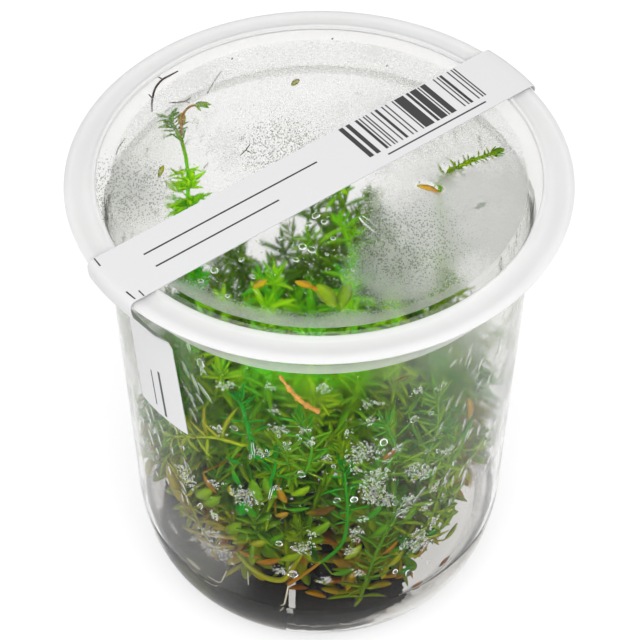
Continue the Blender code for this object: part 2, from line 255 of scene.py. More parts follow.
def give_faces(piece, material, wanted):
    """Adds a material and assigns it to the faces for which wanted(centre, normal) is true."""
    piece.data.materials.append(material)
    pick(piece)
    select_faces(piece, wanted)
    piece.active_material_index = len(piece.data.materials) - 1
    bpy.ops.object.material_slot_assign()
    bpy.ops.object.mode_set(mode='OBJECT')


def apply_modifier(piece, kind, **values):
    """Adds a modifier with these values and applies it."""
    pick(piece)
    modifier = piece.modifiers.new(kind.lower(), kind)
    for key, value in values.items():
        setattr(modifier, key, value)
    bpy.ops.object.modifier_apply(modifier=modifier.name)


def settle(piece, slot, *nodes):
    """Puts a finished piece on the frame."""
    deselect_all()
    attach(piece, "root")
    if nodes:
        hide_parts(*nodes)


# Curves for stems, roots and other thin things

def smooth_route(points, count):
    """An even run of points on a smooth curve through the given ones."""
    points = [Vector(p) for p in points]
    ends = [2 * points[0] - points[1]] + points + [2 * points[-1] - points[-2]]
    fine = []
    for a, b, c, d in zip(ends, ends[1:], ends[2:], ends[3:]):
        for i in range(CURVE_STEPS):
            t = i / CURVE_STEPS
            fine.append(0.5 * (2 * b + (c - a) * t + (2 * a - 5 * b + 4 * c - d) * t * t
                               + (3 * b - a - 3 * c + d) * t * t * t))
    fine.append(points[-1])
    lengths = np.cumsum([0.0] + [(b - a).length for a, b in zip(fine, fine[1:])])
    wanted = np.linspace(0.0, lengths[-1], count)
    axes = [np.interp(wanted, lengths, [p[k] for p in fine]) for k in range(3)]
    return [Vector(p) for p in zip(*axes)]


def rods(name, routes):
    """Round rods as one mesh. Each route is a list of (point, radius)."""
    deselect_all()
    curve = bpy.data.curves.new(name, 'CURVE')
    curve.dimensions = '3D'
    curve.bevel_depth = 1.0
    curve.bevel_resolution = ROD_ROUNDNESS
    curve.use_fill_caps = True
    for route in routes:
        spline = curve.splines.new('POLY')
        spline.points.add(len(route) - 1)
        for point, (place, radius) in zip(spline.points, route):
            point.co = (*place, 1.0)
            point.radius = radius
    piece = bpy.data.objects.new(name, curve)
    bpy.context.collection.objects.link(piece)
    pick(piece)
    bpy.ops.object.convert(target='MESH')
    piece = bpy.context.object
    edit_all()
    bpy.ops.mesh.remove_doubles(threshold=0.000002)
    face_outwards()
    bpy.ops.object.shade_smooth()
    return piece


def paint(piece, name, values):
    """Stores one number for each vertex under a name that the materials read."""
    mesh = piece.data
    attribute = mesh.attributes.get(name) or mesh.attributes.new(name, 'FLOAT', 'POINT')
    attribute.data.foreach_set("value", np.asarray(values, dtype=np.float32))


def places_of(piece):
    """The vertices' places as rows of x, y and z."""
    spots = np.empty(len(piece.data.vertices) * 3, dtype=np.float32)
    piece.data.vertices.foreach_get("co", spots)
    return spots.reshape(-1, 3).astype(float)


def move_to(piece, spots):
    """Puts the vertices at new places."""
    piece.data.vertices.foreach_set("co", spots.astype(np.float32).ravel())
    piece.data.update()


def placed(base, first, second, third):
    """Matrix that puts a model at base, its X, Y and Z along three vectors.

    Where they would mirror the model, the second one is turned about.
    """
    turn = Matrix((first, second, third)).transposed().to_4x4()
    if turn.determinant() < 0.0:
        turn = Matrix((first, -second, third)).transposed().to_4x4()
    return Matrix.Translation(base) @ turn


def joined_copies(name, models, copies):
    """One mesh of many copies. Each copy is (model number, matrix, tint)."""
    shapes = []
    for model in models:
        faces = np.array([tuple(face.vertices) for face in model.data.polygons])
        along = np.empty(len(model.data.vertices), dtype=np.float32)
        model.data.attributes["along"].data.foreach_get("value", along)
        shapes.append((places_of(model), faces, along))
    spots, faces, alongs, tints, start = [], [], [], [], 0
    for number, matrix, tint in copies:
        shape, corners, along = shapes[number]
        turn = np.array(matrix)
        spots.append(shape @ turn[:3, :3].T + turn[:3, 3])
        faces.append(corners + start)
        alongs.append(along)
        tints.append(np.full(len(shape), tint))
        start += len(shape)
    mesh = bpy.data.meshes.new(name)
    mesh.from_pydata(np.concatenate(spots).tolist(), [], np.concatenate(faces).tolist())
    piece = bpy.data.objects.new(name, mesh)
    bpy.context.collection.objects.link(piece)
    paint(piece, "along", np.concatenate(alongs))
    paint(piece, "tint", np.concatenate(tints))
    pick(piece)
    bpy.ops.object.shade_smooth()
    return piece


class Scatter:
    """Round spots (u, v, radius) that don't run into one another."""

    def __init__(self, most):
        self.rows = np.zeros((most, 3))
        self.count = 0

    def add(self, u, v, radius, gap=1.05):
        """Adds a spot and tells whether there was room for it."""
        rows = self.rows[:self.count]
        apart = np.hypot(rows[:, 0] - u, rows[:, 1] - v)
        if self.count == len(self.rows) or np.any(apart < gap * (rows[:, 2] + radius)):
            return False
        self.rows[self.count] = (u, v, radius)
        self.count += 1
        return True


def reach_inside(heights, top, count):
    """The inner face's radius at each height, read between count even levels up to top."""
    levels = np.linspace(0.0, top, count)
    return np.interp(heights, levels, [inside_radius(z) for z in levels])


def keep_inside(piece, soft=0.0012):
    """Presses what would reach through the cup's wall or the lid flat against it."""
    spots = places_of(piece)
    heights = np.clip(spots[:, 2], GEL_TOP - 0.002, PANEL_UNDER - CLEARANCE)
    limits = reach_inside(heights, LID_TOP, 200) - CLEARANCE
    reach = np.hypot(spots[:, 0], spots[:, 1])
    over = reach - (limits - soft)
    pressed = limits - soft * np.exp(-np.maximum(over, 0.0) / soft)
    scale = np.where(over > 0.0, pressed / np.maximum(reach, 1e-9), 1.0)
    spots[:, :2] *= scale[:, None]
    top = PANEL_UNDER - CLEARANCE
    rise = spots[:, 2] - (top - soft)
    spots[:, 2] = np.where(rise > 0.0, top - soft * np.exp(-np.maximum(rise, 0.0) / soft),
                           spots[:, 2])
    move_to(piece, spots)


# Materials

class Nodes:
    """Short calls for a material's nodes."""

    def __init__(self, name):
        self.material = bpy.data.materials.new(name)
        self.material.use_nodes = True
        self.tree = self.material.node_tree
        self.shader = self.tree.nodes["Principled BSDF"]

    def add(self, kind, inputs=None, **values):
        """Adds a shader node with its inputs, each a value or another node's socket."""
        node = self.tree.nodes.new("ShaderNode" + kind)
        for key, value in values.items():
            setattr(node, key, value)
        for key, value in (inputs or {}).items():
            self.set(node, key, value)
        return node

    def set(self, node, key, value):
        socket = node.inputs[key]
        if isinstance(value, bpy.types.NodeSocket):
            self.tree.links.new(value, socket)
        else:
            socket.default_value = value

    def principled(self, **values):
        """Sets the shader's sockets, their names written with underscores."""
        for key, value in values.items():
            self.set(self.shader, key.replace("_", " "), value)

    def place(self, scale=(1.0, 1.0, 1.0)):
        """Object coordinates, scaled."""
        coordinates = self.add("TexCoord")
        mapping = self.add("Mapping", {"Vector": coordinates.outputs["Object"], "Scale": scale})
        return mapping.outputs["Vector"]

    def split(self):
        """Object coordinates as the sockets X, Y and Z."""
        return self.add("SeparateXYZ", {"Vector": self.place()}).outputs

    def noise(self, scale, detail=3.0, roughness=0.5, vector=None, distortion=0.0):
        node = self.add("TexNoise", {"Vector": vector or self.place(), "Scale": scale,
                                     "Detail": detail, "Roughness": roughness,
                                     "Distortion": distortion})
        return node.outputs["Fac"]

    def cells(self, scale, vector=None):
        """Round cells: how far each place is from the nearest cell's middle."""
        node = self.add("TexVoronoi", {"Vector": vector or self.place(), "Scale": scale})
        return node.outputs["Distance"]

    def attribute(self, name):
        return self.add("Attribute", attribute_name=name).outputs["Fac"]

    def ramp(self, value, *stops):
        """A colour ramp. Each stop is (position, colour or grey)."""
        node = self.add("ValToRGB", {"Fac": value})
        band = node.color_ramp
        while len(band.elements) < len(stops):
            band.elements.new(0.5)
        for element, (position, colour) in zip(band.elements, stops):
            element.position = position
            element.color = (*colour, 1.0) if hasattr(colour, "__len__") else (colour,) * 3 + (1.0,)
        return node.outputs["Color"]

    def fit(self, value, low, high, to_low=0.0, to_high=1.0):
        """Maps low..high to to_low..to_high and holds it there."""
        node = self.add("MapRange", {"Value": value, "From Min": low, "From Max": high,
                                     "To Min": to_low, "To Max": to_high})
        return node.outputs["Result"]

    def math(self, operation, a, b=0.0, clamp=False):
        node = self.add("Math", {0: a, 1: b}, operation=operation, use_clamp=clamp)
        return node.outputs["Value"]

    def times(self, a, b, clamp=False):
        return self.math('MULTIPLY', a, b, clamp)

    def most(self, first, *others):
        """The largest of several values."""
        for other in others:
            first = self.math('MAXIMUM', first, other)
        return first

    def mix(self, share, a, b, blend='MIX'):
        node = self.add("Mix", data_type='RGBA', blend_type=blend)
        self.set(node, 0, share)
        self.set(node, 6, a if isinstance(a, bpy.types.NodeSocket) else (*a, 1.0))
        self.set(node, 7, b if isinstance(b, bpy.types.NodeSocket) else (*b, 1.0))
        return node.outputs[2]

    def bump(self, height, strength, distance):
        node = self.add("Bump", {"Height": height, "Strength": strength, "Distance": distance})
        return node.outputs["Normal"]

    def let_through(self, share, colour):
        """Mixes in light that comes through from the other side."""
        through = self.add("BsdfTranslucent", {"Color": colour})
        both = self.add("MixShader", {0: share, 1: self.shader.outputs[0], 2: through.outputs[0]})
        self.tree.links.new(both.outputs[0], self.tree.nodes["Material Output"].inputs["Surface"])

    def near(self, centre, radius, soft):
        """1 within radius of a point, 0 beyond radius + soft."""
        coordinates = self.add("TexCoord")
        distance = self.add("VectorMath", {0: coordinates.outputs["Object"], 1: centre},
                            operation='DISTANCE')
        return self.fit(distance.outputs["Value"], radius, radius + soft, 1.0, 0.0)


SOFT_GLINT = (0.03, 0.03, 0.03, 1.0)
# IOR of what is clear. The plastics' and the gel's are lower than the real ones, so that what
# lies behind them shows as plainly as in the real cup
THIN_PLASTIC = 1.10
MILKY_BEND = 1.12
RING_BEND = 1.04
NECK_BEND = 1.001
GEL_BEND = 1.26
WATER_BEND = 1.333

GLOSSY = 0.03
PANEL_GLOSS = 0.10
FLAT = (0.0, 0.0, 0.0)
INK = (0.02, 0.02, 0.02)
VEIL_TINT = (0.84, 0.835, 0.80)
FOG_TINT = (0.56, 0.565, 0.55)
SPECK_TINT = (0.24, 0.26, 0.22)
THREAD_BROWN = (0.13, 0.085, 0.03)
MOSS_GREEN = (0.12, 0.15, 0.015)
# Painted shade that multiplies the leaves' colours by height, from the gel up to where the light is
# full
LEAF_HEIGHT_PAINTED_SHADE = ((0.0, (0.74, 0.50, 0.40)), (0.30, (0.72, 0.66, 0.32)), (0.70, (0.84, 0.92, 0.38)),
              (1.0, 1.0))
LEAF_PAINTED_SHADE_BAND = (0.018, 0.072)
# Painted shade that multiplies them at the wall and, last, painted light that brightens them under the
# lid's middle
WALL_SIDE_PAINTED_SHADE = (0.78, 0.74, 0.90)
UNDER_LID_PAINTED_LIGHT = (1.60, 1.50, 1.30)


def scaled(colour, factor):
    return tuple(factor * c for c in colour)


def clear_plastic(name, colour, haze, gloss, bend=THIN_PLASTIC):
    """Clear moulded plastic: faint waviness, fine scuffs and a little milk."""
    n = Nodes(name)
    waves = n.noise(60.0, 2.0)
    scuffs = n.noise(900.0, 4.0, 0.6, n.place((1.0, 1.0, 0.25)))
    n.principled(Base_Color=(*colour, 1.0), IOR=bend,
                 Transmission_Weight=1.0 - haze, Specular_Tint=SOFT_GLINT,
                 Roughness=n.fit(scuffs, 0.35, 0.75, gloss, gloss + 0.05),
                 Normal=n.bump(waves, 0.15, 0.0006))
    return n.material


def milky_plastic(name, colour, haze, bend=MILKY_BEND):
    """The thicker flanges: much milkier, with soft flow marks."""
    n = Nodes(name)
    flow = n.noise(45.0, 3.0, 0.55)
    grain = n.noise(1600.0, 3.0)
    tone = n.mix(n.fit(flow, 0.3, 0.7), scaled(colour, 0.97), colour)
    n.principled(Base_Color=tone, IOR=bend, Transmission_Weight=1.0 - haze,
                 Specular_Tint=SOFT_GLINT, Roughness=n.fit(grain, 0.3, 0.7, 0.30, 0.36),
                 Normal=n.bump(flow, 0.2, 0.0008))
    n.let_through(0.18, tone)
    return n.material


def fogged_wall(settings):
    """The cup's wet inner face: clear where leaves wet it, beaded and misty elsewhere."""
    n = Nodes("fogged_wall")
    spot = n.split()
    height = spot["Z"]
    rise = n.fit(height, 0.036, 0.098)
    sides = n.most(n.fit(spot["X"], 0.008, 0.038), n.fit(spot["X"], -0.022, -0.040))
    veil = n.most(n.times(sides, n.fit(height, 0.035, 0.070)),
                  n.near((-0.0270, -0.0290, 0.0275), 0.007, 0.010))
    high = n.times(sides, n.fit(height, 0.080, 0.094))
    patches = n.noise(75.0, 4.0, 0.6, n.place((1.0, 1.0, 0.7)))
    mist = n.fit(n.math('ADD', patches, n.times(rise, 0.16)), 0.50, 0.72)
    beads = n.cells(1500.0, n.place((1.0, 1.0, 0.75)))
    relief = n.mix(0.35, n.ramp(beads, (0.0, 1.0), (0.45, 0.25), (0.75, 0.0)),
                   n.ramp(n.cells(3600.0), (0.0, 1.0), (0.8, 0.0)))
    white = n.math('ADD', n.times(mist, settings.mist),
                   n.most(n.times(veil, settings.side_mist), n.times(high, settings.high_mist)))
    blur = n.fit(n.most(mist, n.times(veil, 0.6)), 0.0, 1.0, GLOSSY, settings.mist_blur)
    n.principled(Base_Color=n.mix(veil, settings.plastic, VEIL_TINT),
                 IOR=THIN_PLASTIC, Specular_Tint=SOFT_GLINT, Roughness=blur,
                 Transmission_Weight=n.math('SUBTRACT', 1.0, white),
                 Normal=n.bump(n.mix(mist, FLAT, relief), 0.3, 0.00020))
    return n.material


def fogged_panel(settings):
    """The lid's wet underside: fogged over the cup's mouth, clear outside it."""
    n = Nodes("fogged_panel")

    def zone(x, y, radius, soft):
        return n.near((x, y, PANEL_UNDER), radius, soft)

    depth = n.split()["Y"]
    right = n.most(zone(0.031, -0.010, 0.009, 0.017), n.fit(depth, -0.003, 0.014, 0.0, 0.34))
    low = zone(0.017, -0.027, 0.005, 0.009)
    left = zone(-0.042, -0.004, 0.007, 0.009)
    front = n.math('SUBTRACT', 1.0, zone(0.0, 0.0, 0.0365, 0.0035))
    edge = n.times(front, n.fit(depth, -0.015, -0.034))
    where = n.most(right, n.times(low, 0.7), n.times(left, 0.8), n.times(edge, 0.7))
    wet = n.most(*[zone(x, y, radius, 0.0008) for x, y, radius in WIPED_SPOTS])
    soft = n.math('ADD', n.times(n.noise(70.0, 5.0, 0.6), 0.7), n.times(n.cells(2600.0), 0.3))
    mist = n.fit(n.math('ADD', where, n.fit(soft, 0.25, 0.75, -0.35, 0.35)), 0.12, 0.85)
    mist = n.times(mist, zone(0.0, 0.0, MOUTH_RADIUS, 0.0003), clamp=True)
    mist = n.math('SUBTRACT', mist, wet, clamp=True)
    relief = n.ramp(n.cells(1700.0), (0.0, 1.0), (0.5, 0.3), (0.8, 0.0))
    crowd = n.most(zone(0.0165, -0.0185, 0.007, 0.012), zone(-0.038, -0.004, 0.007, 0.009),
                   zone(-0.0075, 0.0085, 0.006, 0.010))
    small = n.add("TexVoronoi", {"Vector": n.place((1.0, 0.62, 1.0)), "Scale": 2900.0})
    chance = n.add("SeparateColor", {"Color": small.outputs["Color"]}).outputs["Red"]
    size = n.times(n.times(n.fit(chance, 0.0, 0.7, 0.3, 1.0), crowd), 0.50)
    specks = n.math('LESS_THAN', small.outputs["Distance"], size)
    n.principled(Base_Color=n.mix(specks, n.mix(mist, settings.panel, FOG_TINT), SPECK_TINT),
                 IOR=THIN_PLASTIC, Specular_Tint=SOFT_GLINT,
                 Transmission_Weight=n.fit(mist, 0.0, 1.0, 0.997, 1.0 - settings.fog),
                 Roughness=n.fit(mist, 0.0, 1.0, 0.12, 0.6),
                 Normal=n.bump(n.mix(mist, FLAT, relief), 0.5, 0.0002))
    return n.material


def water():
    """The beads, drops and runs of condensation."""
    n = Nodes("water_beads")
    n.principled(Base_Color=(1.0, 1.0, 1.0, 1.0), IOR=WATER_BEND, Transmission_Weight=1.0,
                 Specular_Tint=(0.9, 0.9, 0.9, 1.0), Roughness=0.0)
    return n.material


def jelly(settings):
    """The clear gel, with faint clouds."""
    n = Nodes("gel_body")
    cloud = n.fit(n.noise(90.0, 3.0), 0.3, 0.7)
    n.principled(Base_Color=n.mix(cloud, settings.gel, scaled(settings.gel, 0.96)), IOR=GEL_BEND,
                 Transmission_Weight=1.0, Specular_Tint=SOFT_GLINT, Roughness=0.01,
                 Normal=n.bump(n.noise(160.0, 3.0), 0.2, 0.0003))
    return n.material


def felt(settings):
    """Dark fibrous mat with brown threads along its edges."""
    n = Nodes("felt_mat")
    threads = n.noise(700.0, 5.0, 0.7, n.place((1.0, 1.0, 4.0)), 1.2)
    low = n.fit(n.split()["Z"], 0.0098, 0.0065)
    brown = n.times(low, n.fit(threads, 0.46, 0.62), clamp=True)
    dark = n.mix(n.fit(threads, 0.35, 0.7), settings.mat, scaled(settings.mat, 2.4))
    dark = n.mix(brown, dark, THREAD_BROWN)
    moss = n.times(n.near((-0.0275, -0.0265, 0.0110), 0.003, 0.004),
                   n.fit(threads, 0.42, 0.55), clamp=True)
    n.principled(Base_Color=n.mix(moss, dark, MOSS_GREEN), Roughness=0.95,
                 Specular_IOR_Level=0.15, Normal=n.bump(threads, 0.8, 0.0005))
    return n.material


def paper(settings):
    """White label paper with plain ruled lines and plain bars on its own map, in metres."""
    n = Nodes("label_face")
    spot = n.add("SeparateXYZ", {"Vector": n.add("UVMap", uv_map="label_map").outputs["UV"]})
    along, across = spot.outputs["X"], spot.outputs["Y"]

    def band(value, low, high):
        return n.times(n.math('GREATER_THAN', value, low), n.math('LESS_THAN', value, high))

    def printed(left, right, bottom, top):
        return n.times(band(along, left, right), band(across, bottom, top))

    module = n.math('FLOOR', n.math('DIVIDE', along, settings.bar_module))
    chance = n.add("TexWhiteNoise", {"W": module}, noise_dimensions='1D').outputs["Value"]
    bars = n.times(n.math('GREATER_THAN', chance, 0.46), printed(*settings.bar_area()))
    ink = n.most(*[printed(*mark) for mark in settings.marks()], bars)
    fibres = n.noise(1400.0, 4.0, 0.6)
    white = n.mix(fibres, scaled(settings.paper, 0.97), settings.paper)
    n.principled(Base_Color=n.mix(ink, white, INK),
                 Roughness=n.fit(fibres, 0.2, 0.8, 0.38, 0.5),
                 Normal=n.bump(fibres, 0.08, 0.0001))
    return n.material


def greenery(settings):
    """Leaves and stems: the tint attribute runs from dead brown to deep green. Painted shade darkens
    them low down and at the wall; painted light brightens them under the lid's middle.
    """
    n = Nodes("rotala_leaf")
    tint, along = n.attribute("tint"), n.attribute("along")
    mottle = n.noise(900.0, 4.0, 0.6)
    shifted = n.math('ADD', tint, n.fit(mottle, 0.3, 0.7, -0.05, 0.05))
    colour = n.ramp(shifted, (DEAD, settings.dead), (GOLD, settings.gold),
                    (YELLOW, settings.yellow), (LIME, settings.lime), (GREEN, settings.green),
                    (EMERALD, settings.emerald))
    # Painted shade by height: leaves low in the crowd are darkened as if less light reached them
    depth = n.ramp(n.fit(n.split()["Z"], *LEAF_PAINTED_SHADE_BAND), *LEAF_HEIGHT_PAINTED_SHADE)
    # 1 near the lid's middle, where painted light brightens the leaves; 0 towards the wall, where
    # painted shade darkens them
    middle = n.near((-0.004, -0.004, 0.092), 0.027, 0.006)
    depth = n.mix(1.0, depth, n.mix(middle, WALL_SIDE_PAINTED_SHADE, UNDER_LID_PAINTED_LIGHT), 'MULTIPLY')
    young = n.mix(n.fit(along, 0.0, 0.35, 0.30, 0.0), colour, settings.lime)
    # pale is the leaf colour with the painted shade and painted light multiplied in
    pale = n.mix(1.0, young, depth, 'MULTIPLY')
    n.principled(Base_Color=pale, Roughness=n.fit(mottle, 0.3, 0.7, 0.30, 0.45),
                 Specular_IOR_Level=0.06, Normal=n.bump(n.noise(1500.0, 3.0), 0.25, 0.0002))
    # The light let through a leaf carries the same painted shade and painted light
    glow = n.mix(0.35, pale, n.mix(1.0, settings.lime, depth, 'MULTIPLY'))
    n.let_through(settings.glow, glow)
    return n.material


def withered(name, light, dark):
    """Dead stems, roots and bits: streaked along, dull."""
    n = Nodes(name)
    streaks = n.noise(1100.0, 5.0, 0.65)
    n.principled(Base_Color=n.ramp(streaks, (0.35, dark), (0.65, light)), Roughness=0.6,
                 Normal=n.bump(streaks, 0.5, 0.0002))
    return n.material


def pale_root():
    """Live roots in the gel."""
    n = Nodes("pale_root")
    n.principled(Base_Color=n.mix(n.noise(800.0), (0.42, 0.38, 0.26), (0.62, 0.58, 0.46)),
                 Roughness=0.45)
    return n.material


# Settings

def length(name, text, default, **more):
    return bpy.props.FloatProperty(name=name, description=text, default=default,
                                   subtype='DISTANCE', unit='LENGTH', precision=4, **more)


def colour(name, text, default):
    return bpy.props.FloatVectorProperty(name=name, description=text, default=default,
                                         subtype='COLOR', size=3, min=0.0, max=1.0)


def share(name, text, default):
    return bpy.props.FloatProperty(name=name, description=text, default=default,
                                   min=0.0, max=1.0, subtype='FACTOR')


def angle(name, text, degrees):
    return bpy.props.FloatProperty(name=name, description=text, default=math.radians(degrees),
                                   subtype='ANGLE', unit='ROTATION')


def number(name, text, default, low, high):
    return bpy.props.IntProperty(name=name, description=text, default=default, min=low, max=high)


class RotalaShell(bpy.types.PropertyGroup):
    """Cup and lid."""
    segments: number("Segments", "Sides around turned pieces", 144, 24, 256)
    ridge_width: length("Ridge width", "Half width of the ring round the lid's panel", 0.0004)
    plastic: colour("Plastic", "Tint of the clear plastic", (0.975, 0.975, 0.97))
    panel: colour("Panel", "Tint of the lid's clear panel", (0.86, 0.857, 0.85))
    milky: colour("Milky plastic", "Tint of the flanges", (0.76, 0.76, 0.757))
    ring: colour("Ring", "Tint of the milky ring below the rim", (0.84, 0.84, 0.83))
    haze: share("Haze", "How milky the thin walls are", 0.001)
    neck_haze: share("Neck haze", "How milky the neck above the ring is", 0.08)
    flange_haze: share("Flange haze", "How milky the flanges are", 0.72)
    bead_haze: share("Bead haze", "How milky the ring below the rim is", 0.38)
    mist: share("Mist", "How white the condensation on the wall is", 0.004)
    side_mist: share("Side mist", "How white the wall's sides are", 0.11)
    high_mist: share("High mist", "How white the sides are below the rim", 0.30)
    fog: share("Fog", "How white the condensation under the lid is", 0.50)
    mist_blur: share("Mist blur", "Roughness of the condensation", 0.27)


class RotalaLabel(bpy.types.PropertyGroup):
    """Label strip. Marks are given along and across the strip from the lid's centre."""
    width: length("Width", "Width of the strip", 0.0141)
    thickness: length("Thickness", "Thickness of the paper", 0.0002)
    flap_end: length("Flap end", "Height of the flap's lower edge", 0.0680)
    flap_touch: length("Flap touch", "Height where the flap meets the wall", 0.0925)
    flap_turn: angle("Flap turn", "How far the flap's lower end is skewed", 4.0)
    bar_module: length("Bar module", "Width of the thinnest plain bar", 0.00034)
    paper: colour("Paper", "Label paper", (0.54, 0.54, 0.546))

    def bar_area(self):
        """Where the plain bars lie: from and to along the strip, then across it."""
        return (0.0101, 0.0415, -0.0035, 0.0068)

    def marks(self):
        """The ruled lines and short marks, each from and to along the strip, then across it."""
        line = 0.00040
        return ((-0.0410, 0.0010, 0.0018, 0.0018 + line),
                (-0.0410, -0.0115, -0.0022, -0.0022 + line),
                (0.0135, 0.0390, -0.0052, -0.0052 + line),
                (-0.0930, -0.0800, -0.0016, -0.0009), (-0.0915, -0.0815, 0.0012, 0.0016),
                (-0.0496, -0.0492, 0.0046, 0.0070),
                (-0.0496, -0.0492, -0.0066, -0.0040),
                (-0.0474, -0.0471, -0.0070, -0.0052))


class RotalaGel(bpy.types.PropertyGroup):
    """Gel and mats."""
    gel: colour("Gel", "Tint of the gel", (0.93, 0.915, 0.89))
    mat: colour("Mat", "Dark mat in the gel", (0.020, 0.019, 0.019))
    meniscus: length("Meniscus", "How far the gel creeps up the wall", 0.0002)


class RotalaGrowth(bpy.types.PropertyGroup):
    """Stems and leaves."""
    stem_radius: length("Stem radius", "Radius of a main stem", 0.00055)
    leaf_length: length("Leaf length", "Length of a full-grown leaf", 0.0064)
    node_spacing: length("Node spacing", "Distance between whorls", 0.0034)
    whorl: number("Leaves in a whorl", "Leaves at each node", 4, 2, 8)
    side_shoots: number("Side shoots", "Side shoots on a stem", 5, 0, 12)
    glow: share("Glow", "Share of light that comes through a leaf", 0.40)
    dead: colour("Dead", "Dead leaves", (0.12, 0.055, 0.015))
    gold: colour("Gold", "Withering leaves", (0.70, 0.33, 0.02))
    yellow: colour("Yellow", "Yellowed leaves", (0.66, 0.60, 0.02))
    lime: colour("Lime", "Young leaves", (0.52, 0.80, 0.010))
    green: colour("Green", "Grown leaves", (0.22, 0.56, 0.008))
    emerald: colour("Emerald", "Leaves and stems pressed to the wall", (0.010, 0.52, 0.020))


class RotalaBeads(bpy.types.PropertyGroup):
    """Condensation."""
    patches: number("Patches", "Patches of crowded beads", 110, 0, 400)
    crowding: number("Crowding", "Tries for beads per mm² of patch", 75, 1, 300)
    loose: number("Loose beads", "Lone beads all over the wall", 1500, 0, 8000)
    drops: number("Drops", "Large drops round the back", 46, 0, 400)
    runs: number("Runs", "Long thin runs on the wall's sides", 300, 0, 1500)
    lid_crowding: bpy.props.FloatProperty(name="Lid crowding", description="Share of lid beads",
                                          default=1.0, min=0.0, max=3.0)
    small: length("Small bead", "Radius of the smallest bead", 0.00013)
    large: length("Large bead", "Radius of the largest common bead", 0.00036)


class RotalaStage(bpy.types.PropertyGroup):
    """Floor, lights and camera."""
    floor: colour("Floor", "Pale floor", (0.42, 0.42, 0.42))
    glow: bpy.props.FloatProperty(name="Floor glow", description="Light from below, as on a light "
                                  "table", default=0.55, min=0.0)
    sky: bpy.props.FloatProperty(name="Sky", description="Strength of the even light",
                                 default=0.95, min=0.0)
    key: bpy.props.FloatProperty(name="Key light", description="Power of the large soft light",
                                 default=14.0, min=0.0, unit='POWER')
    lens: bpy.props.FloatProperty(name="Lens", description="Focal length in millimetres",
                                  default=143.51, min=1.0)
    distance: length("Camera distance", "From the lid's centre to the camera", 0.505)
    elevation: angle("Elevation", "Height angle of the camera seen from the lid", 43.35)
    tilt: angle("Tilt", "How far the camera looks down", 46.685)
    offset: length("Sideways offset", "Camera's place beside the cup's axis", 0.00016)


# Leaves

def make_leaf(name, width, thick, bend, cup, stations):
    """A leaf along +Z, one long: a diamond section extruded through its stations."""
    leaf = primitive(name, bpy.ops.mesh.primitive_circle_add, vertices=4, radius=1.0,
                     fill_type='NGON')
    edit_all()
    before = stations[0][1]
    bpy.ops.transform.resize(value=(0.5 * width * before, 0.5 * thick, 1.0),
                             center_override=(0.0, 0.0, 0.0))
    at = Vector((0.0, 0.0, 0.0))
    for position, size in stations[1:]:
        spot = Vector((0.0, -bend * position * position, position))
        bpy.ops.mesh.extrude_region_move(TRANSFORM_OT_translate={"value": spot - at})
        grow = size / before
        bpy.ops.transform.resize(value=(grow, max(grow, 0.45), 1.0), center_override=spot)
        before, at = size, spot
    face_outwards()
    spots = places_of(leaf)
    spots[:, 1] += cup * (np.abs(spots[:, 0]) / (0.5 * width)) ** 2
    paint(leaf, "along", np.clip(spots[:, 2], 0.0, 1.0))
    move_to(leaf, spots)
    return leaf


NARROW = ((0.0, 0.30), (0.15, 0.62), (0.40, 0.95), (0.68, 0.85), (0.88, 0.52), (1.0, 0.10))
BROAD = ((0.0, 0.22), (0.18, 0.70), (0.42, 1.0), (0.66, 0.95), (0.88, 0.60), (1.0, 0.14))
SHAPES = (("leaf_straight", 0.20, 0.05, 0.10, 0.03, NARROW),
          ("leaf_arched", 0.22, 0.05, 0.38, 0.04, NARROW),
          ("leaf_raised", 0.21, 0.05, -0.22, 0.05, NARROW),
          ("leaf_broad", 0.38, 0.045, 0.16, 0.07, BROAD),
          ("leaf_round", 0.48, 0.045, -0.12, 0.10, BROAD))
STRAIGHT, ARCHED, RAISED, BROAD_LEAF, ROUND_LEAF = range(5)


def leaf_models():
    """The leaf shapes that every stem copies. They are removed once the plants are done."""
    return [bpy.data.objects.get(name) or make_leaf(name, *values) for name, *values in SHAPES]


def leaf_place(base, direction, up, size, widen=1.0):
    """Matrix that puts a leaf at base, along direction, its upper face towards up."""
    along = direction.normalized()
    side = up.cross(along)
    if side.length < 1e-6:
        side = along.orthogonal()
    side.normalize()
    face = along.cross(side)
    return placed(base, side * size * widen, face * size, along * size)


def flat_leaf(base, tip, widen, tint):
    """A leaf along the wall from base to tip: narrow, broad or, where it is short, round."""
    out = Vector((base.x, base.y, 0.0)).normalized()
    size = (tip - base).length
    kind = STRAIGHT if widen < 0.6 else BROAD_LEAF if size > 0.0045 else ROUND_LEAF
    return kind, leaf_place(base, tip - base, out, size, widen), tint


# Share of leaves that are missing, and how far leaves of one whorl differ in tint
MISSING_LEAVES = 0.06
TINT_SCATTER = 0.06
# Stems that stand further out grow more side shoots; shoots that start lower have broad leaves
CROWD_EDGE = 0.020
LOW_SHOOTS = 0.040


